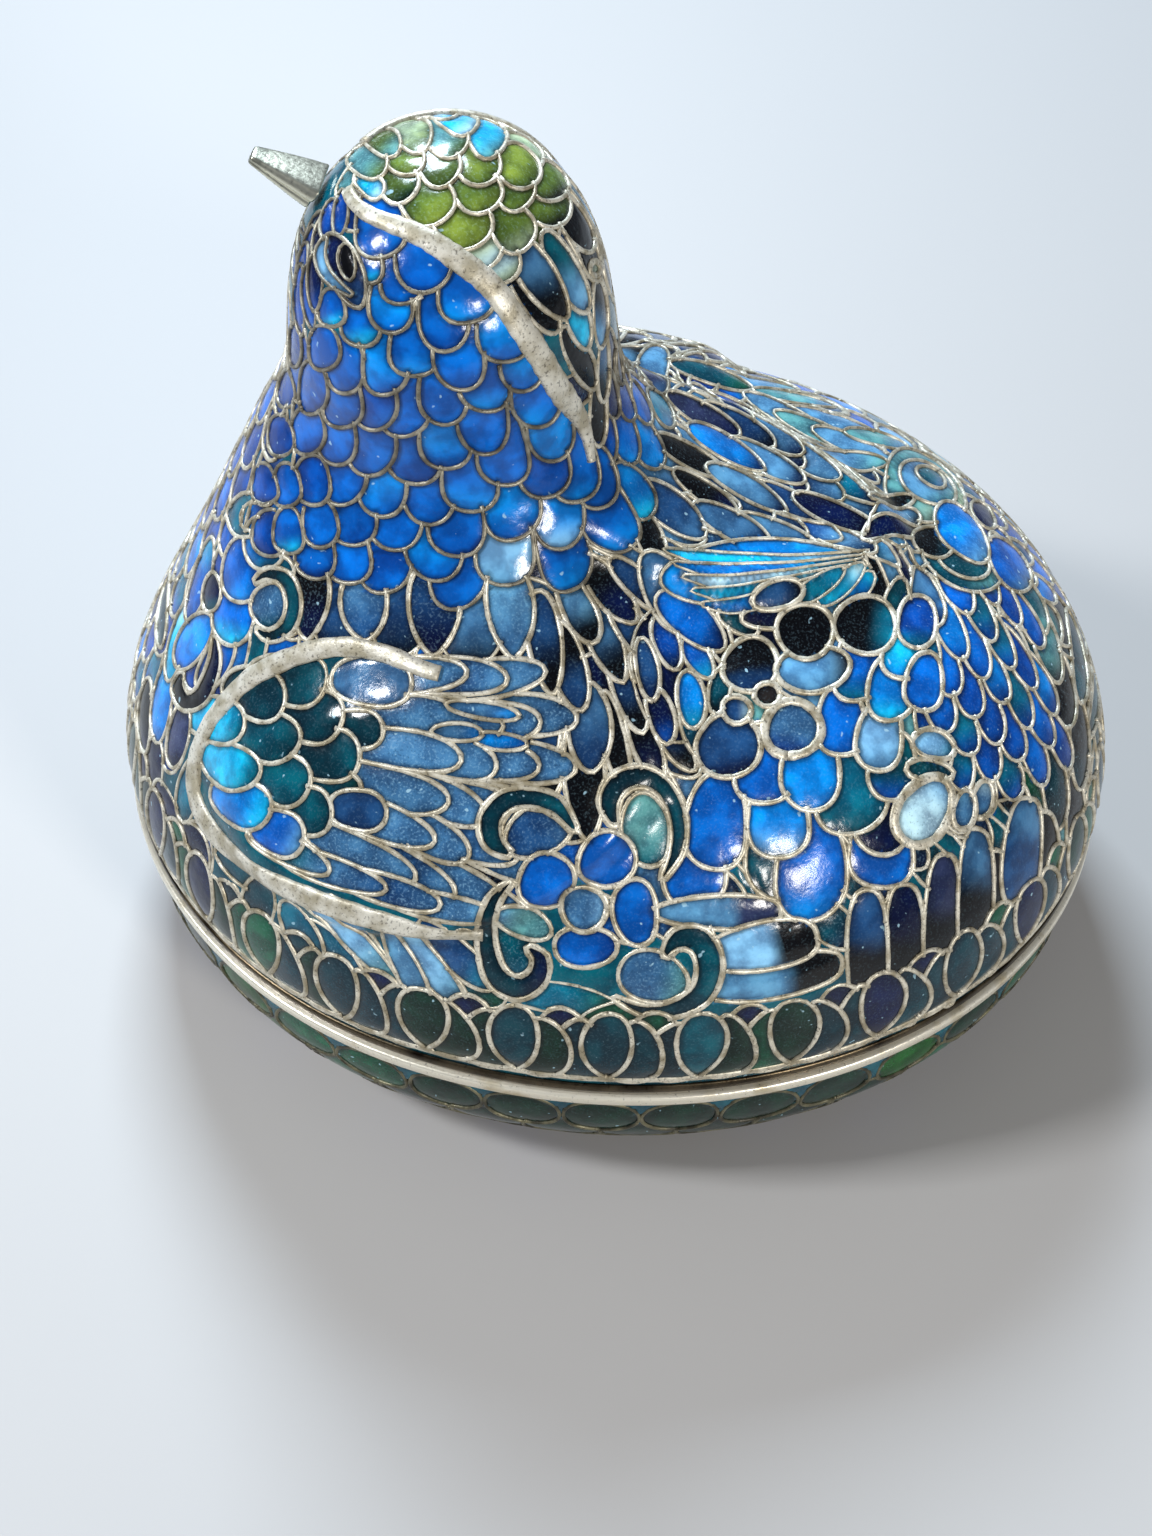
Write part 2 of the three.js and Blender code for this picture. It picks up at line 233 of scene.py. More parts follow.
CAMERA_BACK = np.array([
    np.sin(CAMERA_TURN) * np.cos(CAMERA_RISE),
    -np.cos(CAMERA_TURN) * np.cos(CAMERA_RISE),
    np.sin(CAMERA_RISE),
])
CAMERA_RIGHT = np.array([np.cos(CAMERA_TURN), np.sin(CAMERA_TURN), 0.0])
CAMERA_UP = np.cross(CAMERA_BACK, CAMERA_RIGHT)
CAMERA_PLACE = CAMERA_BACK * CAMERA_REACH + AIM


def seen(pixels):
    """The points of the bird that the photograph shows at these pixels."""
    pixels = np.atleast_2d(np.asarray(pixels, float))
    sideways = (pixels[:, :1] - PHOTO_WIDTH / 2) / LENS_PIXELS
    upward = (PHOTO_HEIGHT / 2 - pixels[:, 1:]) / LENS_PIXELS
    rays = unit(CAMERA_RIGHT * sideways + CAMERA_UP * upward - CAMERA_BACK)
    return cast_in(CAMERA_PLACE, rays, FAR_OFF)


def from_above(x, y):
    """The points of the bird under these places in plan."""
    origins = np.stack(np.broadcast_arrays(x, y, FAR_OFF), -1).reshape(-1, 3)
    return cast_in(origins, (0.0, 0.0, -1.0))


EDGE_TURNS = np.linspace(0, 2 * np.pi, 721)


def edge_radius():
    """Reach of the bird's lower edge from the middle, at angles counted from the beak."""
    direction = np.stack([-np.cos(EDGE_TURNS), -np.sin(EDGE_TURNS), 0 * EDGE_TURNS], -1)
    return cast_out((0, 0, LID_BASE), direction, 30.0, LID_INSET)


EDGE_REACH = edge_radius()


def around(turn, inset, height, share=1.0):
    """Points on the outline of the lower edge, drawn in by an inset, at a height."""
    reach = (np.interp(turn % (2 * np.pi), EDGE_TURNS, EDGE_REACH) - inset) * share
    return np.stack([-np.cos(turn) * reach, -np.sin(turn) * reach, height + 0 * turn], -1)


def narrowing(height):
    """Bowl wall's share of the rim's outline: 1 less the foot inset times the drop to a power."""
    drop = 1 - np.clip(height, 0, BOWL_DEPTH) / BOWL_DEPTH
    return 1 - FOOT_INSET * drop**BOWL_FULLNESS


def bowl_point(turn, height):
    return around(turn, LIP_OVERHANG, height, narrowing(height))


def on_bowl(points):
    """Points moved level inwards or outwards onto the bowl's wall."""
    turn = np.arctan2(-points[..., 1], -points[..., 0])
    return bowl_point(turn, np.clip(points[..., 2], 0.05, BOWL_DEPTH))


def bowl_slope(points):
    """Outward direction of the bowl's wall: the cross product of its two tangents."""
    turn = np.arctan2(-points[..., 1], -points[..., 0])
    height = np.clip(points[..., 2], 0.3, BOWL_DEPTH - 0.3)
    ahead = bowl_point(turn + 0.01, height) - bowl_point(turn - 0.01, height)
    above = bowl_point(turn, height + 0.2) - bowl_point(turn, height - 0.2)
    return unit(np.cross(ahead, above))


# Meshes

def mesh_object(name, points, faces, material):
    """A piece from points in millimetres and faces, with one material."""
    mesh = bpy.data.meshes.new(name)
    mesh.from_pydata((points * MM).tolist(), [], faces)
    mesh.polygons.foreach_set("use_smooth", np.ones(len(mesh.polygons), bool))
    mesh.materials.append(material)
    mesh.update()
    piece = bpy.data.objects.new(name, mesh)
    bpy.context.scene.collection.objects.link(piece)
    return piece


def joined(counts, closed=False):
    """Faces between rings of points. Neighbouring rings have the same count, or one has a
    multiple of the other's; a ring of one point is a pole."""
    starts = np.concatenate([[0], np.cumsum(counts)])
    faces = []
    for r in range(len(counts) if closed else len(counts) - 1):
        n = (r + 1) % len(counts)
        below, above = counts[r], counts[n]
        i = np.arange(max(below, above))
        step = len(i)
        a = starts[r] + (i * below // step) % below
        b = starts[r] + ((i + 1) * below // step) % below
        c = starts[n] + ((i + 1) * above // step) % above
        d = starts[n] + (i * above // step) % above
        if below == above and below > 1:
            faces += np.stack([a, b, c, d], -1).tolist()
            continue
        faces += np.stack([a, b, c], -1)[a != b].tolist()
        faces += np.stack([a, c, d], -1)[c != d].tolist()
    return faces


# Cells of enamel

def turns(count, shift=0.0):
    """count angles evenly round a circle, the first one a share of a step from zero."""
    return (np.arange(count) + shift) * 2 * np.pi / count


def leaf(front, back, half, tip=1.0, root=1.0, points=30):
    """Outline of a cell, its tip ahead of the origin and its root behind: along is front or back
    times the cosine, across is half the width times the sine to a power, which is over 1 for a
    pointed end and under 1 for a square one. Slow waves give each one a hand-bent edge."""
    turn = turns(points)
    cos, sin = np.cos(turn), np.sin(turn)
    along = np.where(cos > 0, front, back) * cos
    power = np.where(cos > 0, tip, root)
    across = half * np.sign(sin) * np.abs(sin) ** power
    phase = RANDOM.uniform(0, 2 * np.pi, 2)
    slow, quick = LEAF_WAVES
    wave = 1 + slow * np.sin(2 * turn + phase[0]) + quick * np.sin(3 * turn + phase[1])
    return np.stack([along, across], -1) * wave[:, None]


def inside(outline, places):
    """Whether places in a plane lie in an outline, by counting the edges crossed."""
    x, y = places[:, 0, None], places[:, 1, None]
    x0, y0 = outline.T
    x1, y1 = np.roll(outline, -1, 0).T
    rise = np.where(y1 == y0, 1e-9, y1 - y0)
    crossed = ((y0 > y) != (y1 > y)) & (x < (x1 - x0) * (y - y0) / rise + x0)
    return crossed.sum(1) % 2 == 1


def run_lengths(line):
    """Length of a polyline up to each of its points."""
    return np.append(0, np.cumsum(np.linalg.norm(np.diff(line, axis=0), axis=1)))


def spread(line, count):
    """count places evenly along a polyline."""
    line = np.asarray(line, float)
    length = run_lengths(line)
    at = np.linspace(0, length[-1], count)
    return np.stack([np.interp(at, length, line[:, k]) for k in range(line.shape[1])], -1)


def tangent(directions, normals):
    """Directions laid flat on the surface: less their share along the normal, at length one."""
    directions = np.asarray(directions, float)
    return unit(directions - normals * (directions * normals).sum(-1, keepdims=True))


class Pattern:
    """The cells laid on one surface, in painting order: a later one lies over an earlier one."""

    def __init__(self, settle, slope):
        self.settle, self.slope, self.cells = settle, slope, []

    def add(self, outlines, headings, glazes, tip=None, span=(0.0, 1.0), speckle=0.1, wire=0.52,
            head=False):
        """Cells from their outlines on the surface, each in a colour drawn from glazes. tip, or what
        follows a slash in the colour, is a second colour, reached along the cell between the shares
        in span of the way to its tip. head says that the cells belong to the head and neck, whose
        wires are a piece of their own."""
        centres = self.settle(outlines.mean(1))
        normals = unit(self.slope(centres))
        along = tangent(headings, normals)
        across = np.cross(normals, along)
        for outline, centre, normal, *axes in zip(outlines, centres, normals, along, across):
            axes = np.stack(axes, -1)
            gain, glaze = RANDOM.uniform(*SHADES), glazes[RANDOM.integers(len(glazes))]
            body, _, end = glaze.partition("/")
            self.cells.append(dict(
                centre=centre, normal=normal, axes=axes, outline=outline, flat=(outline - centre) @ axes,
                body=linear(body, gain), tip=linear(end or tip or body, gain), span=span, speckle=speckle,
                wire=wire, head=head, far=False, reach=np.linalg.norm(outline - centre, axis=1).max()))

    def lay(self, centres, headings, shape, glazes, **finish):
        """One cell for each centre, its outline from shape() laid on the tangent plane and
        settled onto the surface, its colour drawn from glazes."""
        normals = unit(self.slope(centres))
        headings = tangent(headings, normals)
        across = np.cross(normals, headings)
        shapes = np.stack([shape() for _ in centres])
        outlines = self.settle(
            centres[:, None] + shapes[..., :1] * headings[:, None] + shapes[..., 1:] * across[:, None])
        self.add(outlines, headings, glazes, **finish)

    def mirror(self, first):
        """Far side: each cell from number first on is repeated behind the middle plane, under them."""
        flip = np.array([1.0, -1.0, 1.0])
        near, far = self.cells[first:], []
        for cell in near:
            copy = dict(cell, far=True)
            for key in ("centre", "normal", "outline"):
                copy[key] = cell[key] * flip
            copy["axes"] = cell["axes"] * flip[:, None]
            gain = RANDOM.uniform(*FAR_SHADES)
            copy["body"], copy["tip"] = cell["body"] * gain, cell["tip"] * gain
            far.append(copy)
        self.cells[first:] = far + near

    def colour(self, points, normals):
        """For each point the colour and speckle of the last cell over it, as whole arrays, and the
        distance to the nearest wire. The wires' runs are kept for their meshes."""
        owner = np.full(len(points), -1)
        tint = np.tile(np.append(linear("teal"), 0.1), (len(points), 1))
        for number, cell in enumerate(self.cells):
            offset = points - cell["centre"]
            close = np.flatnonzero((offset**2).sum(1) < cell["reach"] ** 2)
            close = close[normals[close] @ cell["normal"] > FACING]
            flat = offset[close] @ cell["axes"]
            held = inside(cell["flat"], flat)
            close, flat = close[held], flat[held]
            owner[close] = number
            span = cell["span"]
            front = cell["flat"][:, 0].max()
            share = smooth((flat[:, :1] / front - span[0]) / (span[1] - span[0]))
            tint[close, :3] = cell["body"] * (1 - share) + cell["tip"] * share
            tint[close, 3] = cell["speckle"]
        self.runs = self.wires()
        samples = np.concatenate([run["points"] for run in self.runs])
        halves = np.concatenate([np.full(len(run["points"]), run["wire"] / 2) for run in self.runs])
        distance = np.full(len(points), DOME_REACH)
        for number, cell in enumerate(self.cells):
            mine = np.flatnonzero(owner == number)
            if not len(mine):
                continue
            reach = cell["reach"] + DOME_REACH
            near = ((samples - cell["centre"]) ** 2).sum(1) < reach**2
            if near.any():
                gaps = np.linalg.norm(points[mine, None] - samples[None, near], axis=-1) - halves[near]
                distance[mine] = np.clip(gaps.min(1), 0, DOME_REACH)
        return tint, distance

    def wires(self, step=0.4):
        """The stretches of the outlines that no later cell covers, sampled evenly."""
        centres = np.array([cell["centre"] for cell in self.cells])
        reaches = np.array([cell["reach"] for cell in self.cells])
        runs = []
        for number, cell in enumerate(self.cells):
            line = np.vstack([cell["outline"], cell["outline"][:1]])
            points = spread(line, max(int(run_lengths(line)[-1] / step), 4) + 1)
            shown = np.ones(len(points), bool)
            gaps = np.linalg.norm(centres[number + 1:] - cell["centre"], axis=1)
            for other in number + 1 + np.flatnonzero(gaps < reaches[number + 1:] + cell["reach"]):
                cover = self.cells[other]
                if cover["normal"] @ cell["normal"] > 0:
                    offset = (points - cover["centre"]) @ cover["axes"]
                    shown &= ~inside(cover["flat"] * COVER_SHARE, offset)
            about = {key: cell[key] for key in ("wire", "far", "head")}
            if shown.all():
                runs.append(dict(about, points=points))
                continue
            start = int(np.argmin(shown))
            points, shown = np.roll(points[:-1], -start, 0), np.roll(shown[:-1], -start)
            edges = np.flatnonzero(np.diff(np.concatenate([[0], shown.astype(int), [0]])))
            for begin, end in zip(edges[::2], edges[1::2]):
                if end - begin < SHORTEST_RUN:
                    continue
                begin, end = max(begin - 1, 0), min(end + 1, len(points))
                runs.append(dict(about, points=points[begin:end]))
        return runs


def wire_mesh(name, runs, slope, material, step=0.62):
    """Wires: a six-sided half-round profile carried along every run at once, with closed ends.
    Across comes from the surface's normal and the run's direction."""
    points, widths, counts = [], [], []
    for run in runs:
        count = max(int(round(run_lengths(run["points"])[-1] / step)), 2) + 1
        points.append(spread(run["points"], count))
        widths.append(run["wire"] * RANDOM.uniform(*WIRE_WIDTHS, count))
        counts.append(count)
    points, widths = np.concatenate(points), np.concatenate(widths)
    starts = np.append(0, np.cumsum(counts))
    first, last = starts[:-1], starts[1:] - 1
    index = np.arange(len(points))
    before, after = index - 1, index + 1
    before[first], after[last] = first, last
    normals = unit(slope(points))
    across = unit(np.cross(normals, points[after] - points[before]))
    profile = np.array([
        (-0.5, WIRE_FOOT), (0.5, WIRE_FOOT), (0.5, WIRE_SHOULDER), (0.2, WIRE_TOP), (-0.2, WIRE_TOP),
        (-0.5, WIRE_SHOULDER),
    ])
    sides = len(profile)
    rings = (points[:, None] + across[:, None] * (profile[None, :, :1] * widths[:, None, None])
             + normals[:, None] * profile[None, :, 1:])
    whole = np.ones(len(points), bool)
    whole[last] = False
    a = index[whole][:, None] * sides + np.arange(sides)
    b = index[whole][:, None] * sides + (np.arange(sides) + 1) % sides
    faces = np.stack([a, b, b + sides, a + sides], -1).reshape(-1, 4).tolist()
    faces += (first[:, None] * sides + np.arange(sides)[::-1]).tolist()
    faces += (last[:, None] * sides + np.arange(sides)).tolist()
    return mesh_object(name, rings.reshape(-1, 3), faces, material)


def curve_through(places, count):
    """A smooth line through the places: on each span the cubic with Catmull-Rom slopes."""
    places = np.asarray(places, float)
    padded = np.vstack([2 * places[0] - places[1], places, 2 * places[-1] - places[-2]])
    t = np.linspace(0, len(places) - 1 - 1e-9, count)
    i, t = t.astype(int), (t % 1)[:, None]
    p0, p1, p2, p3 = (padded[i + k] for k in range(4))
    return 0.5 * (2 * p1 + (p2 - p0) * t + (2 * p0 - 5 * p1 + 4 * p2 - p3) * t**2
                  + (3 * p1 - p0 - 3 * p2 + p3) * t**3)


def widths_along(widths, count):
    """A list of widths, stretched evenly and in straight steps over count places."""
    return np.interp(np.linspace(0, 1, count), np.linspace(0, 1, len(widths)), widths)


bird = Pattern(on_bird, bird_slope)


def photo_row(guide, count, headings, shape, glazes, stagger=0.0, **finish):
    """Cells in a row along a guide in the photograph, all pointing at an angle there, counted in
    degrees from rightwards to downwards and given for the guide's two ends."""
    guide = spread(guide, count)
    if stagger:
        guide = guide[:-1] + stagger * np.diff(guide, axis=0)
    cos, sin = cos_sin(np.linspace(*headings, len(guide)))
    scatter, look_ahead = 1.5, 5.0
    guide = guide + RANDOM.normal(0, scatter, guide.shape)
    ahead = guide + look_ahead * np.stack([cos, sin], -1)
    centres, ahead = np.split(seen(np.vstack([guide, ahead])), 2)
    bird.lay(centres, ahead - centres, shape, glazes, **finish)


# The pattern, from the tail to the head, so that each feather lies over the one behind it. Places
# and sizes of drawn cells are pixels of the photograph, their headings are degrees from rightwards
# to downwards, and a colour with a slash runs from the cell's root to its tip.

def photo_cells(cells, tip_power=1.0, root_power=1.0, **finish):
    """Cells drawn in the photograph's frame from rows of x, y, heading, length ahead of that
    place, length behind it, half width and colour. Where the surface turns away so far that a cell
    would be stretched past a limit in millimetres a pixel, it is laid flat by two steps from its
    middle, rightwards and downwards, each held to that limit."""
    flats, aims = [], []
    for _, _, heading, front, back, half, _ in cells:
        cos, sin = cos_sin(heading)
        flat = leaf(front, back, half, tip_power, root_power) @ [(cos, sin), (-sin, cos)]
        flats.append(np.vstack([(0, 0), (PROBE, 0), (0, PROBE), flat]))
        aims.append(CAMERA_RIGHT * cos - CAMERA_UP * sin)
    flats, places = np.stack(flats), np.array([cell[:2] for cell in cells])
    both = seen((flats + places[:, None]).reshape(-1, 2)).reshape(len(cells), -1, 3)
    centres, offsets = both[:, :1], both[:, 3:] - both[:, :1]
    steps = (both[:, 1:3] - centres) / PROBE
    steps = steps * np.minimum(1, OUTLINE_LIMIT / np.linalg.norm(steps, axis=-1, keepdims=True))
    stretch = np.linalg.norm(offsets, axis=-1) / np.linalg.norm(flats[:, 3:], axis=-1)
    wild = stretch.max(1)[:, None, None] > OUTLINE_LIMIT
    outlines = on_bird(centres + np.where(wild, flats[:, 3:] @ steps, offsets))
    for outline, aim, cell in zip(outlines, aims, cells):
        bird.add(outline[None], aim[None], [cell[-1]], **finish)


def strokes(starts, ends, half, colours, **finish):
    """Slivers from starts to ends in the photograph's frame, the colours taken in turn."""
    cells = []
    for k, (start, end) in enumerate(zip(starts, ends)):
        along = np.subtract(end, start)
        heading, reach = np.degrees(np.arctan2(along[1], along[0])), np.hypot(*along) / 2
        middle, colour = np.add(start, end) / 2, colours[k % len(colours)]
        cells.append((*middle, heading, reach, reach, half, colour))
    photo_cells(cells, 1.1, 1.1, **finish)


def ribbon(route, widths, colour, **finish):
    """A scroll's body: a strip along a route in the photograph's frame, with a list of widths."""
    line = curve_through(route, 34)
    ahead = np.gradient(line, axis=0)
    across = unit(np.stack([-ahead[:, 1], ahead[:, 0]], -1))
    half = widths_along(widths, len(line))[:, None] / 2
    outline = seen(np.vstack([line + across * half, (line - across * half)[::-1]]))
    bird.add(outline[None], CAMERA_RIGHT[None], [colour], **finish)


def scales(heading, cells, stretch=1.9, **finish):
    """Fish scales that all point one way, from rows of x, y, radius and colour."""
    rows = [(x, y, heading, r, stretch * r, r, colour) for x, y, r, colour in cells]
    photo_cells(rows, 0.9, 0.8, **finish)


def back_feathers():
    """Long pointed feathers in rows across the back and rump, on both sides of the middle."""
    rows, rearmost, row_step, feather_step = 19, 51.0, 3.4, 4.3
    half_length, half_breadth = 54.0, 40.0
    for k in range(rows):
        x = rearmost - row_step * k
        side = half_breadth * np.sqrt(max(1 - (x / half_length) ** 2, 0.02))
        count = max(int(2 * side / feather_step), 3)
        y = (np.arange(count) + 0.5 * (k % 2)) / (count - 0.5) * 2 * side - side
        centres = from_above(x + RANDOM.uniform(-0.8, 0.8, count), y)
        headings = np.stack([np.ones(count), 0.012 * y, np.zeros(count)], -1)
        headings[:, 2] = -0.02 * (x + 5)
        if k < 4:
            glazes, tip = ["mist", "green", "teal", "umber"], "petrol"
        elif k < 10:
            glazes, tip = ["haze", "slate", "steel", "teal"], "navy"
        else:
            glazes, tip = ["steel", "cobalt", "navy", "slate"], "black"
        bird.lay(centres, headings, lambda: leaf(4.2, 6.5, 1.9, 1.15, 0.9), glazes, tip=tip,
                 speckle=0.35, wire=0.4)


def breast_scales():
    """Rows of scales down the throat and breast, round the front from side to side."""
    lowest, highest, row_step, throat, half_row, count = 21.5, 78, 3.7, 50, 22, 10
    for k, z in enumerate(np.arange(lowest, highest, row_step)):
        y = np.linspace(-half_row, half_row, count) + (2.4 if k % 2 else 0)
        origins = np.stack([np.full(count, -80.0), y, np.full(count, z)], -1)
        glazes, size = ["cobalt", "royal"], 0.78
        if z < throat:
            glazes, size = ["royal", "cobalt", "sea", "navy", "azure"], 0.95
        bird.lay(cast_in(origins, (1.0, 0.0, 0.0)), (0.3, 0.0, -1.0),
                 lambda: leaf(3.1 * size, 5.5 * size, 2.8 * size, 0.85, 0.8), glazes, tip="royal",
                 wire=0.42)


def rump():
    """Small blue scales behind the wing and the long dark and pale cells folded round the tail."""
    photo_cells([
        (1104, 770, 90, 50, 60, 13, "forest/teal"), (1100, 850, 102, 42, 55, 13, "petrol/umber"),
        (1098, 690, 84, 48, 60, 13, "teal/forest"), (1078, 820, 95, 44, 50, 13, "umber/black"),
        (1083, 745, 88, 46, 52, 13, "umber/petrol"), (1082, 660, 76, 46, 60, 13, "petrol/teal"),
        (1058, 790, 85, 42, 46, 13, "petrol/umber"), (1066, 690, 78, 40, 46, 13, "umber/black"),
        (1048, 640, 68, 44, 50, 13, "mist/umber"), (1030, 600, 60, 40, 46, 14, "teal/mist"),
        (1085, 860, 110, 26, 26, 12, "forest/teal"), (1062, 880, 110, 24, 24, 12, "petrol"),
    ], 1.0, 0.9, speckle=0.25, wire=0.44)
    for k in range(7):
        start, end = (956 - 9 * k, 804 - 31 * k), (1062 - 8 * k, 744 - 30 * k)
        blues = ["cobalt", "royal", "azure", "sea"] if k < 6 else ["slate", "cobalt", "teal"]
        photo_row([start, end], 5, (76, 62), lambda: leaf(2.9, 4.8, 1.85, 0.95, 0.9), blues,
                  stagger=0.5 * (k % 2), tip="royal", wire=0.38, speckle=0.15)


def flank():
    """Large cobalt fish scales between the wing, the crest and the tail, round ends down. The
    turquoise ones and the pale tip of a bright one are painted highlights.
    """
    scales(92, [
        (694, 880, 31, "cobalt"), (778, 866, 33, "teal/petrol"), (811, 884, 37, "cobalt/azure"),
        (882, 858, 32, "cobalt"), (882, 824, 30, "navy"), (716, 836, 33, "cobalt"),
        (778, 828, 31, "azure/haze"), (852, 798, 37, "sea/teal"), (893, 776, 24, "teal/royal"),
        (764, 776, 29, "cobalt"), (811, 782, 29, "azure"), (842, 731, 25, "cobalt"),
        (880, 746, 24, "sky/haze"), (858, 676, 25, "cobalt/sea"), (891, 698, 23, "azure/cyan"),
        (904, 658, 21, "cyan/azure"), (925, 690, 20, "cobalt"), (918, 628, 19, "royal/sea"),
    ], wire=0.5, speckle=0.12)


def tail_bars():
    """Upright bars with round tops that stand on the border, black below and grey above."""
    photo_cells([
        (1046, 880, 276, 66, 60, 17, "black/umber"), (1003, 925, 273, 70, 62, 15, "black/umber"),
        (906, 952, 270, 72, 76, 19, "black/navy"), (944, 930, 272, 74, 78, 19, "black/plum"),
        (869, 962, 270, 73, 76, 21, "black/steel"), (977, 902, 273, 75, 80, 18, "black/slate"),
        (1024, 856, 276, 56, 54, 20, "steel/slate"),
    ], 0.6, 0.55, span=(0.1, 0.6), speckle=0.1, wire=0.5)


def long_feathers():
    """Long feathers between the flank flower and the tail, grey with black round ends."""
    photo_cells([
        (724, 913, 0, 58, 70, 18, "haze/plum"), (775, 978, 350, 68, 80, 22, "haze/black"),
        (764, 947, 348, 58, 72, 24, "sky/black"),
    ], 0.65, 1.2, span=(0.1, 0.4), speckle=0.12, wire=0.5)


def lower_plumes():
    """Pale plumes that fan out under the wing band, over green and blue ground."""
    photo_cells([
        (560, 1000, 10, 60, 60, 16, "sea/green"), (640, 1012, 350, 70, 60, 14, "green/petrol"),
        (480, 975, 60, 40, 50, 22, "teal/green"), (330, 960, 45, 60, 60, 20, "sea/steel"),
    ], wire=0.3, speckle=0.2)
    photo_cells([
        (240, 870, 44, 34, 34, 13, "teal/green"), (196, 852, 78, 32, 30, 15, "cobalt/navy"),
        (272, 944, 50, 26, 26, 15, "teal/forest"), (226, 912, 84, 28, 28, 14, "navy/petrol"),
        (256, 906, 96, 30, 28, 18, "petrol/sea"), (300, 934, 56, 34, 36, 15, "sea/teal"),
        (322, 910, 30, 34, 40, 11, "slate/sea"),
    ], speckle=0.12, wire=0.4)
    photo_cells([
        (450, 1004, 66, 34, 46, 18, "sea/green"), (462, 962, 42, 44, 62, 15, "steel/sea"),
        (432, 972, 52, 52, 66, 14, "sky/teal"), (408, 975, 62, 46, 56, 12, "haze/sea"),
        (372, 962, 56, 44, 78, 14, "haze/sea"), (352, 940, 47, 62, 66, 12, "sky/mist"),
    ], 0.9, 1.3, speckle=0.2, wire=0.38)


def flame_feathers():
    """Hanging tongues between the neck and the wing band, and dark pointed drops beside the wing."""
    photo_cells([
        (664, 790, 62, 40, 46, 13, "navy/black"), (632, 812, 78, 40, 50, 12, "steel/teal"),
        (585, 778, 86, 62, 70, 21, "black"), (549, 768, 90, 36, 60, 14, "navy/black"),
        (648, 748, 68, 42, 46, 14, "black/navy"), (676, 742, 58, 36, 46, 13, "steel/black"),
        (615, 742, 76, 48, 52, 13, "black"), (589, 724, 84, 50, 44, 22, "slate/steel"),
        (538, 712, 86, 64, 60, 24, "slate/steel"), (630, 694, 68, 42, 46, 15, "steel/black"),
        (655, 690, 60, 42, 46, 13, "navy/cobalt"), (570, 668, 78, 46, 48, 17, "black/steel"),
        (505, 678, 90, 46, 50, 20, "black"), (545, 640, 82, 52, 50, 18, "steel/black"),
        (606, 640, 66, 44, 48, 17, "slate/black"), (636, 632, 56, 42, 46, 15, "steel/black"),
        (580, 610, 64, 38, 44, 16, "haze/black"), (612, 592, 52, 38, 46, 16, "black/navy"),
        (644, 588, 40, 36, 44, 14, "steel/navy"),
    ], 1.25, 0.9, span=(-0.4, 0.6), speckle=0.16, wire=0.48)
    photo_cells([
        (336, 600, 90, 50, 40, 34, "steel/black"), (400, 604, 90, 54, 40, 34, "steel/black"),
        (470, 612, 90, 54, 40, 36, "slate/black"), (280, 600, 90, 40, 40, 26, "teal/black"),
    ], wire=0.3, speckle=0.15)
    photo_cells([
        (276, 596, 94, 46, 40, 20, "sea/navy"), (308, 596, 91, 44, 40, 20, "black/navy"),
        (363, 600, 90, 44, 40, 23, "slate/steel"), (433, 606, 88, 48, 40, 27, "steel/navy"),
        (510, 606, 86, 52, 44, 24, "haze/slate"),
    ], 1.5, 0.8, span=(-0.3, 0.7), speckle=0.3, wire=0.48)


def mantle():
    """Narrow pointed feathers from the neck's foot back between the crest and the ridge."""
    for k in range(7, -1, -1):
        crest, ridge = (672 + 33 * k, 548 - k), (652 + 39 * k, 372 + 15 * k)
        count = 8 - k // 2
        tints = ["slate", "steel", "cobalt", "haze"] if k < 5 else ["haze", "slate", "sea"]
        photo_row([crest, ridge], count, (22, 34), lambda: leaf(4.4, 6.4, 1.75, 1.15, 0.9), tints,
                  stagger=0.5 * (k % 2), tip="haze" if k in (4, 6) else "navy", speckle=0.25, wire=0.34)
    starts = [(722, 366), (756, 378), (790, 396), (744, 392), (776, 410), (812, 424), (800, 440),
              (846, 420)]
    ends = [(800, 396), (836, 412), (880, 440), (826, 432), (858, 448), (902, 462), (884, 476),
            (912, 452)]
    strokes(starts, ends, 10.0, ["haze/mist", "mist/haze", "haze/sky"], speckle=0.3, wire=0.3)
    photo_cells([
        (716, 372, 22, 42, 46, 10, "teal/green"), (690, 384, 28, 42, 46, 10, "slate/teal"),
        (742, 424, 30, 42, 46, 11, "steel/black"), (706, 414, 30, 42, 46, 11, "plum/navy"),
        (768, 460, 28, 44, 46, 12, "haze/navy"), (728, 446, 30, 42, 46, 12, "azure/navy"),
        (694, 456, 30, 42, 46, 11, "black"), (790, 500, 26, 46, 46, 12, "steel/black"),
        (748, 486, 30, 44, 46, 12, "haze/navy"), (708, 492, 34, 38, 40, 11, "black/navy"),
        (836, 512, 24, 46, 46, 12, "navy/black"), (780, 532, 22, 46, 46, 12, "haze/steel"),
        (734, 524, 28, 46, 46, 14, "slate/navy"), (672, 508, 36, 44, 44, 18, "steel/slate"),
        (652, 540, 70, 30, 34, 14, "black"),
    ], 1.15, 0.9, speckle=0.16, wire=0.34)


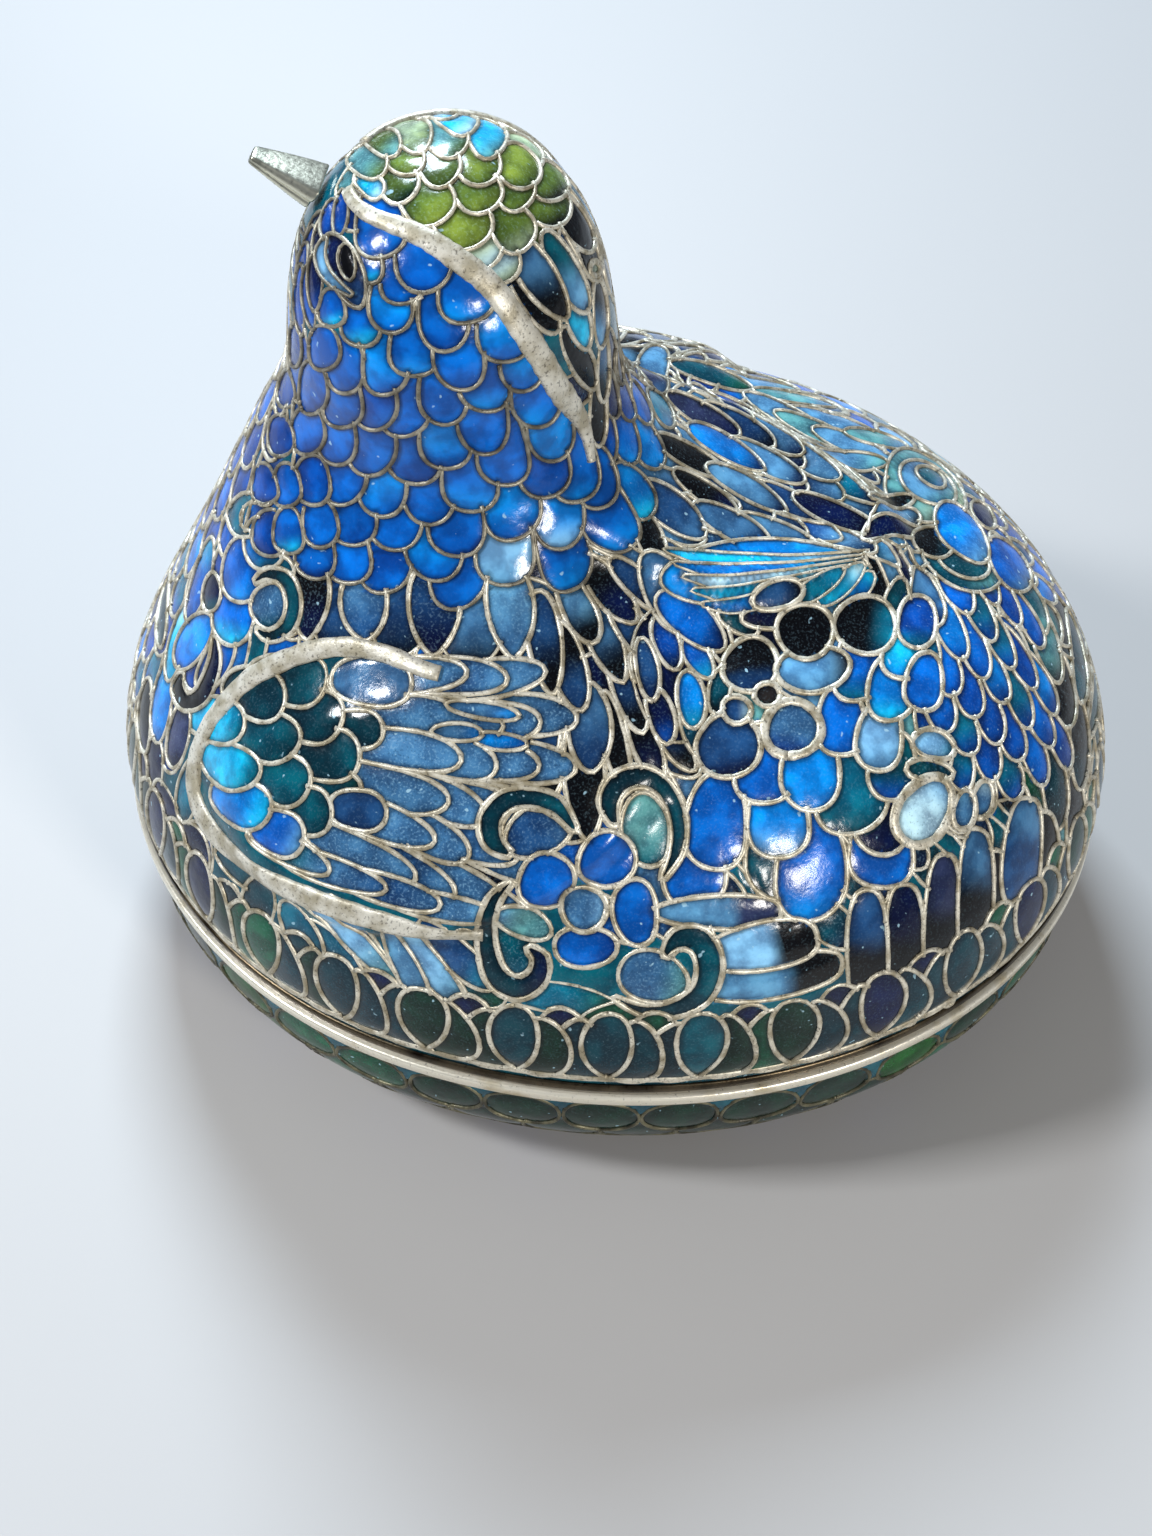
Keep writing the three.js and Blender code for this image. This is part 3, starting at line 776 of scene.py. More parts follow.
def crest_glints():
    """Bright ribbons that run together along the crest, and the dark trough with blue glints.
    The ribbons, the turquoise cell under them and the bright blue cells in the trough are painted
    reflections of a blue light.
    """
    photo_cells([
        (676, 668, 80, 75, 66, 44, "navy"), (735, 640, 10, 60, 60, 32, "navy/black"),
    ], wire=0.3, speckle=0.1)
    photo_cells([
        (700, 738, 62, 32, 34, 13, "sea/navy"), (662, 716, 74, 30, 34, 13, "navy/royal"),
        (648, 668, 80, 32, 32, 12, "steel/navy"), (692, 698, 84, 30, 28, 15, "azure/cyan"),
        (668, 642, 72, 28, 30, 13, "royal/black"), (720, 690, 100, 24, 26, 11, "teal/black"),
        (698, 654, 62, 26, 24, 13, "cobalt/cyan"), (722, 640, 80, 24, 24, 11, "navy/black"),
        (740, 622, 30, 22, 24, 11, "teal/black"), (766, 618, 4, 24, 24, 11, "navy"),
    ], 1.0, 1.0, speckle=0.2, wire=0.44)
    photo_cells([
        (668, 590, 60, 46, 44, 24, "slate/haze"), (690, 618, 40, 44, 40, 20, "cobalt/navy"),
    ], 1.1, 1.0, speckle=0.15, wire=0.4)
    photo_cells([(760, 572, 358, 112, 104, 34, "azure/cyan")], 1.1, 1.1, wire=0.34, speckle=0.1)
    for k in range(5):
        drop = 14 * k
        route = [(664 + 9 * k, 548 + drop), (716 + 6 * k, 558 + 0.84 * drop),
                 (790 + 2 * k, 560 + 0.5 * drop), (872 - 7 * k, 550 + 0.36 * drop)]
        ribbon(route, [4, 15, 17, 12, 3], ("cyan/ice", "azure/cyan", "ice/cyan")[k % 3],
               speckle=0.12, wire=0.24)
    strokes([(846, 606), (818, 606), (788, 606)], [(874, 570), (866, 562), (846, 568)], 11.0,
            ["azure/cyan", "cyan/ice", "sea/cyan"], speckle=0.12, wire=0.26)


def dorsal_ovals():
    """Round-eyed flower and ovals near the rump."""
    photo_cells([
        (928, 478, 48, 52, 50, 30, "mist/sage"), (930, 478, 48, 36, 34, 19, "haze/mist"),
        (932, 474, 48, 20, 18, 10, "teal/slate"), (896, 512, 20, 44, 40, 15, "haze/black"),
        (900, 524, 18, 34, 34, 11, "navy/black"), (890, 500, 18, 30, 30, 9, "black"),
        (962, 562, 22, 44, 40, 24, "teal/mist"), (964, 560, 22, 30, 28, 14, "petrol/teal"),
        (935, 540, 15, 22, 22, 15, "black/petrol"), (1012, 562, 55, 34, 34, 17, "cobalt/slate"),
        (964, 528, 50, 38, 36, 19, "azure/haze"), (985, 512, 55, 24, 24, 11, "navy"),
    ], speckle=0.2, wire=0.38)


def upper_flower():
    """Flower of round cells on the upper flank, with a thick ring as its eye, and a pale petal."""
    photo_cells([
        (729, 745, 80, 33, 33, 33, "steel/navy"), (751, 664, 80, 28, 28, 28, "black/steel"),
        (867, 624, 10, 32, 33, 28, "black/sea"), (813, 668, 350, 38, 36, 24, "haze/umber"),
        (806, 630, 60, 28, 28, 28, "black"), (768, 694, 0, 14, 14, 12, "umber"),
        (737, 709, 0, 15, 15, 14, "steel/ice"), (779, 594, 346, 27, 27, 15, "steel/black"),
    ], speckle=0.12, wire=0.56)
    photo_cells([(793, 728, 100, 29, 29, 28, "slate/royal")], speckle=0.35, wire=0.9)
    photo_cells([
        (935, 744, 12, 22, 22, 15, "sky/sea"), (930, 770, 6, 26, 24, 11, "teal/sea"),
        (984, 800, 284, 21, 20, 11, "slate/ice"), (966, 810, 278, 20, 20, 12, "slate/haze"),
    ], speckle=0.3, wire=0.6)
    photo_cells([(925, 812, 300, 37, 35, 27, "ice/sky")], speckle=0.4, wire=0.95)


def wing_field():
    """Inside the wing: grey-blue fingers in staggered rows that point to the tail, and dark green
    scales at the shoulder, with turquoise ones among them as painted glints."""
    rows = [
        ([(524, 716), (520, 780), (506, 840), (486, 900)], 5, 10),
        ([(492, 680), (488, 748), (474, 815), (448, 880)], 6, 4),
        ([(452, 676), (448, 740), (434, 802), (404, 872)], 6, 12),
        ([(412, 676), (410, 735), (396, 798), (366, 858)], 6, 6),
    ]
    for guide, count, heading in rows:
        photo_row(guide, count, (heading - 10, heading + 20), lambda: leaf(5.0, 9.0, 1.9, 0.9, 1.0),
                  ["slate", "steel", "slate"], tip="slate", speckle=0.5, wire=0.46)
    strokes([(446, 704), (470, 738), (430, 730)], [(520, 716), (528, 744), (484, 734)], 9,
            ["slate/azure", "azure/cobalt"], speckle=0.3, wire=0.4)
    photo_cells([
        (440, 908, 12, 60, 60, 14, "slate/haze"), (384, 890, 16, 60, 60, 15, "steel/slate"),
        (330, 872, 20, 56, 60, 15, "slate/steel"), (288, 852, 26, 46, 50, 14, "teal/slate"),
    ], 0.9, 1.0, speckle=0.5, wire=0.44)
    scales(8, [
        (384, 682, 26, "slate"), (362, 730, 20, "petrol"), (340, 790, 20, "teal/forest"),
        (366, 812, 20, "steel"), (332, 756, 27, "petrol/teal"), (308, 812, 24, "teal/petrol"),
        (316, 716, 27, "petrol"), (300, 680, 26, "petrol/teal"),
    ], 2.1, wire=0.46, speckle=0.12)
    scales(24, [
        (282, 836, 22, "cobalt/haze"), (284, 780, 26, "teal"), (272, 738, 26, "teal/petrol"),
        (260, 696, 25, "petrol"), (246, 806, 24, "azure/cyan"), (230, 768, 24, "cyan/teal"),
        (220, 722, 23, "cyan/teal"),
    ], 1.7, wire=0.46, speckle=0.12)


def breast_flower():
    """Blue petals and scrolls on the breast in front of the wing; the turquoise in them is painted glint.
    """
    photo_cells([
        (146, 850, 60, 40, 40, 15, "navy/petrol"), (136, 800, 80, 40, 40, 13, "petrol/navy"),
        (151, 770, 88, 34, 34, 15, "navy/black"), (164, 812, 66, 34, 34, 14, "navy"),
        (190, 852, 72, 34, 32, 17, "navy/cobalt"), (142, 715, 95, 40, 40, 12, "black/navy"),
        (160, 700, 282, 50, 46, 13, "azure/cyan"), (176, 640, 290, 46, 44, 12, "cyan/ice"),
        (160, 610, 285, 40, 38, 12, "petrol/black"), (198, 580, 292, 46, 44, 13, "cobalt/cyan"),
        (176, 735, 100, 34, 34, 12, "plum/navy"), (186, 790, 100, 34, 34, 12, "sea/teal"),
    ], speckle=0.15, wire=0.38)
    photo_cells([
        (190, 640, 125, 34, 34, 17, "azure/cobalt"), (214, 662, 118, 32, 34, 15, "cobalt/plum"),
        (232, 616, 108, 30, 34, 21, "cobalt/cyan"), (209, 592, 100, 20, 20, 11, "navy/teal"),
        (240, 572, 84, 30, 34, 24, "cobalt/azure"), (262, 545, 80, 26, 30, 20, "azure/sea"),
    ], 0.95, 1.1, speckle=0.1, wire=0.42)
    photo_cells([(271, 606, 90, 26, 24, 22, "slate/teal")], speckle=0.4, wire=0.42)
    ribbon([(252, 582), (266, 574), (284, 580), (292, 602), (286, 626), (268, 636), (254, 628)],
           [5, 13, 16, 16, 16, 13, 5], "petrol/teal", wire=0.46)
    ribbon([(213, 636), (212, 664), (200, 694), (184, 702), (176, 688), (180, 672)],
           [5, 14, 18, 18, 14, 6], "black/navy", wire=0.46)
    ribbon([(262, 500), (244, 498), (232, 512), (236, 530), (250, 534)], [4, 12, 14, 12, 5], "sea/cyan",
           wire=0.42)


def flank_flower():
    """Five cobalt petals round a grey eye, with four thick scrolls about them."""
    photo_cells([
        (537, 832, 340, 36, 34, 26, "steel/slate"), (646, 826, 84, 44, 34, 24, "mist/teal"),
        (516, 948, 60, 34, 34, 24, "teal/sea"), (652, 978, 10, 38, 36, 26, "slate/mist"),
        (524, 924, 196, 32, 30, 15, "mist/haze"),
    ], speckle=0.35, wire=0.46)
    dark = "petrol/teal"
    ribbon([(510, 856), (493, 842), (490, 820), (506, 801), (530, 798), (556, 806), (576, 832)],
           [8, 22, 24, 22, 20, 20, 8], dark, wire=0.56)
    ribbon([(616, 826), (609, 804), (618, 784), (642, 776), (666, 790), (678, 818), (677, 850),
            (662, 880)],
           [10, 22, 24, 22, 20, 18, 16, 6], dark, wire=0.56)
    ribbon([(512, 882), (494, 900), (486, 926), (487, 952), (496, 978), (516, 990), (536, 980),
            (540, 960), (526, 948)],
           [5, 14, 18, 20, 24, 24, 22, 18, 6], "petrol/navy", wire=0.56)
    ribbon([(664, 958), (678, 940), (700, 942), (710, 966), (702, 994), (676, 1010), (644, 1012),
            (612, 998)],
           [8, 22, 28, 28, 24, 18, 12, 5], dark, wire=0.56)
    photo_cells([
        (607, 860, 290, 28, 28, 29, "cobalt"), (547, 882, 200, 29, 27, 29, "cobalt"),
        (635, 912, 80, 34, 32, 23, "cobalt"), (585, 948, 0, 33, 33, 20, "cobalt/royal"),
    ], 0.85, 0.85, speckle=0.08, wire=0.5)
    photo_cells([(584, 910, 0, 24, 24, 22, "slate/sky")], speckle=0.3, wire=0.6)


def neck_scales():
    """Cobalt fish scales from the neck's foot up to the brow stripe; rows slant up to the right.
    The turquoise tips of some small scales are painted glints.
    """
    width, finish = 5.8, dict(wire=0.38, speckle=0.03, head=True)
    photo_row([(566, 560), (612, 520)], 2, (74, 60),
              lambda: leaf(width / 2, width * 0.95, width / 2, 0.9, 0.8), ["haze", "cobalt"],
              tip="azure", **finish)
    scales(86, [
        (457, 580, 29, "cobalt"), (384, 566, 27, "royal/cobalt"), (347, 560, 24, "cobalt"),
        (314, 560, 20, "cobalt/royal"), (268, 540, 17, "royal"), (434, 552, 29, "azure/cobalt"),
        (506, 556, 30, "sky/haze"), (559, 520, 28, "azure/sky"), (395, 524, 27, "cobalt"),
        (353, 522, 24, "cobalt/royal"), (319, 530, 18, "cobalt"), (287, 538, 16, "cobalt/cyan"),
        (598, 486, 22, "cobalt"), (457, 530, 28, "cobalt/royal"), (512, 512, 29, "azure/cobalt"),
        (576, 476, 26, "cobalt/azure"), (428, 498, 27, "cobalt"), (470, 486, 28, "cobalt/azure"),
        (544, 472, 27, "royal/cobalt"), (382, 492, 25, "azure/cobalt"), (342, 482, 23, "cobalt"),
        (311, 488, 18, "royal/cobalt"), (285, 492, 15, "cobalt"), (262, 490, 14, "royal"),
        (414, 460, 27, "cobalt/royal"), (504, 460, 27, "cobalt"), (552, 436, 25, "azure"),
        (370, 452, 25, "cobalt"), (445, 444, 27, "azure/cobalt"), (335, 444, 21, "cobalt"),
        (306, 438, 17, "cobalt/royal"), (279, 442, 14, "royal"), (484, 428, 27, "cobalt"),
        (538, 404, 25, "cobalt/azure"), (404, 414, 25, "cobalt"), (374, 410, 22, "royal/cobalt"),
        (341, 408, 21, "cobalt"), (284, 394, 14, "royal"), (310, 396, 18, "cobalt/royal"),
        (444, 400, 26, "cobalt"), (485, 388, 26, "cobalt/azure"), (524, 368, 24, "azure/cobalt"),
        (344, 374, 20, "cobalt"), (384, 372, 24, "azure/cobalt"), (292, 352, 15, "royal"),
        (320, 356, 16, "cobalt"), (414, 354, 25, "cobalt/azure"), (460, 364, 27, "cobalt"),
        (505, 334, 29, "azure/cobalt"), (360, 328, 20, "cobalt/cyan"), (330, 314, 14, "cobalt/cyan"),
        (390, 312, 22, "azure/cobalt"), (444, 324, 27, "cobalt/royal"), (402, 282, 23, "cobalt"),
        (467, 296, 29, "cobalt/azure"), (368, 270, 14, "cobalt/cyan"), (423, 265, 28, "cobalt/royal"),
        (352, 216, 15, "royal"), (379, 232, 26, "cobalt"),
    ], **finish)


def nape_scales():
    """Narrow blue scales in a fan where the nape meets the back; the turquoise in them is painted glint."""
    photo_cells([
        (604, 520, 78, 30, 34, 20, "cyan/azure"), (636, 492, 62, 30, 34, 18, "azure/cyan"),
        (604, 480, 84, 28, 34, 16, "cyan/ice"), (650, 446, 66, 24, 36, 15, "azure"),
        (628, 440, 76, 26, 36, 13, "cobalt/azure"), (608, 440, 86, 26, 36, 11, "royal/cobalt"),
        (664, 408, 52, 22, 30, 11, "sea/slate"), (644, 404, 62, 22, 30, 10, "cobalt"),
        (628, 400, 72, 22, 30, 9, "royal"), (614, 398, 82, 22, 30, 8, "navy"),
        (656, 376, 50, 20, 26, 9, "plum/slate"), (638, 370, 60, 20, 26, 8, "cobalt/navy"),
        (622, 366, 74, 20, 26, 7, "navy"),
    ], 1.0, 1.0, speckle=0.12, wire=0.34, head=True)


def face():
    """Fine feather strokes behind the beak, and the almond eye: pale at the front, with a black
    oval pupil."""
    starts = [(308, 190), (300, 206), (293, 222), (316, 206), (308, 224), (300, 240), (324, 214),
              (294, 262), (304, 262), (314, 250), (332, 196), (342, 188)]
    ends = [(292, 250), (290, 274), (290, 292), (302, 276), (298, 300), (296, 320), (314, 260),
            (298, 340), (308, 330), (312, 312), (322, 240), (336, 236)]
    strokes(starts, ends, 8.0, ["navy/royal", "royal", "royal/cobalt"], speckle=0.1,
            wire=0.3, head=True)
    photo_cells([(342, 267, 66, 44, 36, 18, "navy/steel")], 1.25, 1.0, wire=0.4, speckle=0.1, head=True)
    ribbon([(324, 236), (318, 252), (322, 270), (334, 284), (352, 296)], [5, 11, 12, 10, 4], "sky/haze",
           wire=0.3, head=True)
    photo_cells([(345, 260, 80, 20, 18, 9, "black")], wire=0.26, speckle=0.0, head=True)


def crown():
    """Olive scales on the crown, pale ones at their end, and black feathers down the nape. The
    turquoise in them and the ice-pale scales along the top are painted reflections of light from behind.
    """
    photo_cells([
        (600, 420, 92, 28, 60, 9, "black"), (606, 372, 92, 30, 40, 8, "slate/black"),
        (583, 362, 66, 30, 40, 13, "black"), (604, 316, 88, 34, 40, 10, "black/haze"),
        (580, 318, 76, 34, 44, 12, "sea/cyan"), (540, 308, 52, 34, 50, 13, "black"),
        (568, 272, 62, 46, 46, 15, "teal/haze"), (592, 250, 70, 34, 50, 12, "black"),
        (540, 276, 58, 52, 48, 18, "slate/black"), (580, 222, 56, 34, 40, 15, "black"),
    ], 1.1, 0.9, span=(-0.4, 0.5), speckle=0.08, wire=0.46)
    photo_cells([(598, 268, 90, 8, 8, 7, "sage")], speckle=0.6, wire=0.6)
    scales(50, [
        (552, 206, 21, "olive/black"), (556, 180, 18, "olive/umber"), (500, 262, 22, "ice/sage"),
        (478, 248, 24, "sage/ice"), (516, 230, 22, "olive/sage"), (464, 222, 28, "lime"),
        (528, 150, 19, "sage/olive"), (516, 190, 20, "olive"), (480, 190, 23, "olive/lime"),
        (428, 200, 26, "olive/lime"), (522, 168, 20, "lime/olive"), (480, 162, 22, "lime/olive"),
        (440, 164, 21, "olive"), (398, 182, 20, "olive/forest"), (490, 132, 20, "cyan/mist"),
        (404, 154, 19, "olive/lime"),
    ], 1.6, speckle=0.25, wire=0.38)
    scales(36, [
        (372, 186, 12, "cyan/ice"), (448, 134, 20, "mist/olive"), (368, 158, 18, "mist/olive"),
        (462, 118, 18, "cyan/ice"), (412, 128, 20, "sage/olive"), (440, 112, 16, "ice/cyan"),
        (384, 138, 16, "olive/mist"),
    ], 1.8, speckle=0.35, wire=0.34)


def border():
    """A row of motifs above the rim, all the way round: a drop that stands on its point between
    two round lobes, as the wires of an omega enclose them."""
    count = 32
    dark = ["petrol", "forest", "petrol", "green"]
    for offset, height, shape, glazes in [
        (0.5, 8.4, lambda: leaf(3.0, 5.0, 2.4, 1.0, 1.3), ["petrol", "green", "navy"]),
        (-0.27, 4.6, lambda: leaf(5.6, 4.2, 3.1, 1.3, 0.75), dark),
        (0.27, 4.6, lambda: leaf(5.6, 4.2, 3.1, 1.3, 0.75), dark),
        (0.0, 7.1, lambda: leaf(3.8, 6.3, 2.55, 0.85, 2.1), dark + ["teal", "navy"]),
    ]:
        points = on_bird(around(turns(count, 0.5) + offset * 2 * np.pi / count, 0.0, LID_BASE + height))
        bird.lay(points, (0.0, 0.0, 1.0), shape, glazes, wire=0.5, speckle=0.12)


back_feathers()
breast_scales()
first = len(bird.cells)
for group in (rump, flank, tail_bars, long_feathers, lower_plumes, flame_feathers, mantle, crest_glints,
              dorsal_ovals, upper_flower, wing_field, breast_flower, flank_flower, nape_scales, neck_scales,
              face, crown):
    group()
bird.mirror(first)
border()


# Materials

class Value:
    """A shader socket that Python's operators work on by adding Math nodes."""

    def __init__(self, tree, socket):
        self.tree, self.socket = tree, socket

    def math(self, operation, *others, clamp=False):
        node = self.tree.nodes.new("ShaderNodeMath")
        node.operation, node.use_clamp = operation, clamp
        for socket, value in zip(node.inputs, (self,) + others):
            if isinstance(value, Value):
                self.tree.links.new(value.socket, socket)
            else:
                socket.default_value = value
        return Value(self.tree, node.outputs[0])

    def __add__(self, other):
        return self.math("ADD", other)

    __radd__ = __add__

    def __mul__(self, other):
        return self.math("MULTIPLY", other)

    __rmul__ = __mul__

    def __sub__(self, other):
        return self.math("SUBTRACT", other)

    def __rsub__(self, other):
        return (self * -1.0) + other

    def above(self, low, high):
        """Rises from 0 at low to 1 at high."""
        return ((self - low) * (1.0 / (high - low))).math("ADD", 0.0, clamp=True)


class Finish:
    """A new material and its Principled shader, with one method for any other node."""

    def __init__(self, name, **constants):
        self.material = bpy.data.materials.new(name)
        self.material.use_nodes = True
        self.tree = self.material.node_tree
        self.shader = self.tree.nodes["Principled BSDF"]
        for socket, value in constants.items():
            self.shader.inputs[socket.replace("_", " ")].default_value = value

    def node(self, kind, output=0, settings=(), **sockets):
        """A node of a kind with its settings; sockets are given by name, or as i and a number."""
        node = self.tree.nodes.new("ShaderNode" + kind)
        for key, value in dict(settings).items():
            setattr(node, key, value)
        for name, value in sockets.items():
            socket = node.inputs[int(name[1:]) if name[1:].isdigit() else name.replace("_", " ")]
            if isinstance(value, Value):
                self.tree.links.new(value.socket, socket)
            else:
                socket.default_value = value
        return Value(self.tree, node.outputs[output])

    def noise(self, size, detail=2.0, seed=0.0):
        """Noise with features about size millimetres across, on the object's own coordinates."""
        place = self.node("TexCoord", "Object")
        shift = self.node("VectorMath", settings=dict(operation="ADD"), i0=place, i1=(seed, seed, seed))
        return self.node("TexNoise", "Fac", Vector=shift, Scale=1000.0 / size, Detail=detail)

    def mix(self, share, first, second, blend="MIX"):
        """Colour mix of two colours, or of links to colours."""
        settings = dict(data_type="RGBA", blend_type=blend)
        return self.node("Mix", 2, settings=settings, i0=share, i6=first, i7=second)

    def feed(self, socket, value):
        self.tree.links.new(value.socket, self.shader.inputs[socket])

    def bump(self, height, strength, reach_mm):
        self.feed("Normal", self.node("Bump", Strength=strength, Distance=reach_mm * MM, Height=height))


def rgb(name, gain=1.0):
    return (*linear(name, gain), 1.0)


def grey(red, green, blue):
    return (*((np.array([red, green, blue]) / 255.0) ** 2.2), 1.0)


def enamel_finish(name):
    """Glossy glaze in each cell's own colour: cloudy patches, pale specks where the cell is
    speckled, small bright points of painted glint, painted shade as a deeper tone towards the
    wires and a dark line along them, and a slightly uneven fired surface."""
    finish = Finish(name, Coat_Weight=0.1, Coat_Roughness=0.06, Specular_IOR_Level=0.26)
    glaze = finish.node("Attribute", "Color", settings=dict(attribute_name="glaze"))
    speckle = finish.node("Attribute", "Alpha", settings=dict(attribute_name="glaze"))
    edge = finish.node("Attribute", "Fac", settings=dict(attribute_name="edge"))
    cloud = finish.noise(2.6, 3.0)
    grain = finish.noise(0.24, 2.5, 3.1)
    fine = finish.noise(0.9, 4.0, 7.7)
    deep = finish.mix(1.0, glaze, (0.42, 0.42, 0.48, 1.0), "MULTIPLY")
    pale = finish.mix(1.0, glaze, (1.9, 1.7, 1.5, 1.0), "MULTIPLY")
    colour = finish.mix(cloud.above(0.56, 0.38) * 0.75, glaze, deep)
    # Painted shade: the glaze is darkened towards the wires, where the cells dip into their grooves.
    hollow = finish.mix(edge.above(1.1, 0.1) * 0.4, colour, deep)
    light = finish.mix(cloud.above(0.5, 0.72) * 0.6, hollow, pale)
    fleck = finish.mix(0.4, pale, rgb("ice", 0.8))
    specked = finish.mix(grain.above(0.53, 0.68) * speckle, light, fleck)
    pitted = finish.mix(grain.above(0.40, 0.30) * speckle * 0.8, specked, rgb("black", 2.0))
    # Painted glints: small bright points of pale ice colour that stand in for sparkling reflections on the
    # glaze.
    painted_glints = finish.noise(0.8, 1.0, 11.0).above(0.735, 0.78) * 0.6
    glinted_colour = finish.mix(painted_glints, pitted, rgb("ice"))
    # Painted shade: a dark line along each wire, mixed towards black.
    shade = edge.above(0.42, 0.0) * (0.45 + 0.5 * fine)
    finish.feed("Base Color", finish.mix(shade, glinted_colour, rgb("black", 1.4)))
    finish.feed("Roughness", 0.1 + 0.14 * fine + 0.25 * speckle * grain)
    finish.bump(fine + grain * speckle, 0.35, 0.12)
    return finish.material


def wire_finish(name, bright, dull, metallic=0.55):
    """Worn gilt wire: bright and dull patches, with dark specks and a granular surface."""
    finish = Finish(name)
    patch, grain = finish.noise(1.8, 3.0), finish.noise(0.28, 3.0, 5.0)
    colour = finish.mix(patch.above(0.38, 0.62), bright, dull)
    finish.feed("Base Color", finish.mix(grain.above(0.44, 0.3) * 0.7, colour, grey(58, 50, 40)))
    finish.feed("Metallic", metallic - 0.3 * patch)
    finish.feed("Roughness", 0.28 + 0.3 * grain)
    finish.bump(grain, 0.5, 0.08)
    return finish.material


def rim_finish(name, bright, dull, wear=0.5, metallic=1.0):
    """Polished rim with dull streaks and small dents."""
    finish = Finish(name, Metallic=metallic)
    patch, grain = finish.noise(4.5, 4.0), finish.noise(0.35, 3.0, 2.0)
    colour = finish.mix(patch.above(0.62 - 0.25 * wear, 0.7), bright, dull)
    finish.feed("Base Color", finish.mix(grain.above(0.42, 0.3) * wear, colour, grey(46, 36, 26)))
    finish.feed("Roughness", 0.2 + 0.25 * grain)
    finish.bump(grain, 0.4, 0.06)
    return finish.material


BIRD_ENAMEL = enamel_finish("bird_enamel")
BOWL_ENAMEL = enamel_finish("bowl_enamel")
CREAM_WIRE = wire_finish("cream_wire", grey(226, 220, 202), grey(158, 148, 124))
FINE_WIRE = wire_finish("fine_wire", grey(166, 160, 142), grey(104, 98, 84))
BAND_METAL = wire_finish("band_metal", grey(222, 218, 204), grey(168, 160, 138), 0.45)
DARK_WIRE = wire_finish("dark_wire", grey(120, 116, 92), grey(58, 56, 44))
BRIGHT_RIM = rim_finish("bright_rim", grey(240, 234, 216), grey(206, 192, 160), 0.2, 0.6)
# The lid's rim is dark as painted shadow of the gap between lid and base; its dark specks are wear.
SHADOW_AND_WEAR_RIM = rim_finish("aged_rim", grey(92, 82, 66), grey(36, 30, 24), 0.75)
BEAK_METAL = rim_finish("beak_metal", grey(214, 212, 192), grey(166, 166, 150), 0.3)


# Pieces

def cone_rays(zones, count):
    """Rays of the rings at zone values from 0, the rim, through 1 and 2, the neck's ends, to 3, the
    back of the crown: the tips and directions of cones that lean, narrow, rise and close."""
    zones = np.asarray(zones, float)
    low, high = np.array([0, 0, LID_BASE]), from_shares(FORMS[3]["x"], 0, FORMS[3]["z"])
    axis = np.linalg.norm(high - low)
    body, neck, head = np.clip(zones, 0, 1), np.clip(zones - 1, 0, 1), np.clip(zones - 2, 0, 1)
    angle = 90 + (NECK_ANGLE - 90) * body + (90 - NECK_ANGLE) * neck - 90 * head
    lean = NECK_LEAN * smooth(body) + (HEAD_LEAN - NECK_LEAN) * smooth(neck)
    behind = NECK_REACH * BIRD_LENGTH / np.tan(np.radians(np.maximum(angle, NECK_ANGLE)))
    start = NECK_REACH * BIRD_LENGTH / np.tan(np.radians(NECK_ANGLE))
    climb = np.where(zones <= 1, 0, np.where(zones >= 2, axis, start + (axis - start) * neck - behind))
    tips = low + (high - low) * (climb / axis)[:, None]
    turn, (cos, sin) = turns(count), cos_sin(lean[:, None])
    angle = np.radians(angle)[:, None]
    x, y, z = -np.sin(angle) * np.cos(turn), -np.sin(angle) * np.sin(turn), np.cos(angle) + 0 * turn
    directions = np.stack([x * cos - z * sin, y, x * sin + z * cos], -1)
    return tips[:, None] + 0 * directions, directions


def bird_rings(zones, count, level):
    """Rings of points where the rays pass a level."""
    tips, directions = cone_rays(zones, count)
    return tips + directions * cast_out(tips, directions, 3.0, level, 45)[..., None]


def even_zones(spacing):
    """Zone values whose rings lie evenly, by the mean distance between them."""
    zones = np.linspace(0.0, 3.0, 240)
    rings = bird_rings(zones, 24, 0.0)
    length = np.append(0, np.cumsum(np.linalg.norm(np.diff(rings, axis=0), axis=-1).mean(1)))
    return np.interp(np.linspace(0, length[-1], int(length[-1] / spacing) + 1), length, zones)


def enamel_bird():
    """The hollow bird: a fine outer skin, lower along the wires and domed in the cells, and a
    plain inner wall."""
    wide, narrow, spacing, neck_start = 560, 280, 0.5, 0.86
    inner_count, inner_spacing = 140, 2.6
    zones = even_zones(spacing)
    low, high = zones[zones < neck_start], zones[(zones >= neck_start) & (zones < 3)]
    parts = [(low, wide), (high, narrow), ([3.0], 1)]
    outer = np.concatenate([bird_rings(part, count, 0.0).reshape(-1, 3) for part, count in parts])
    normals = unit(bird_slope(outer))
    tint, edge = bird.colour(outer, normals)
    level = GLAZE_AT_WIRE + GLAZE_DOME * np.sqrt(np.clip(edge / DOME_REACH, 0, 1))
    inner_zones = even_zones(inner_spacing)[:-1]
    inner = bird_rings(inner_zones, inner_count, -LID_WALL)
    crown_inside = bird_rings([3.0], 1, -LID_WALL)
    points = np.concatenate([
        crown_inside.reshape(-1, 3), inner[::-1].reshape(-1, 3), outer + normals * level[:, None]])
    counts = [1] + [inner_count] * len(inner_zones) + [wide] * len(low) + [narrow] * len(high) + [1]
    hidden = len(points) - len(outer)
    plain = np.tile(np.append(linear("petrol"), 0.1), (hidden, 1))
    piece = mesh_object("enamel_bird", points, joined(counts), BIRD_ENAMEL)
    glaze_attributes(piece, np.vstack([plain, tint]), np.concatenate([np.full(hidden, DOME_REACH), edge]))
    return piece


def glaze_attributes(piece, tint, edge):
    piece.data.attributes.new("glaze", "FLOAT_COLOR", "POINT").data.foreach_set("color", tint.ravel())
    piece.data.attributes.new("edge", "FLOAT", "POINT").data.foreach_set("value", edge)


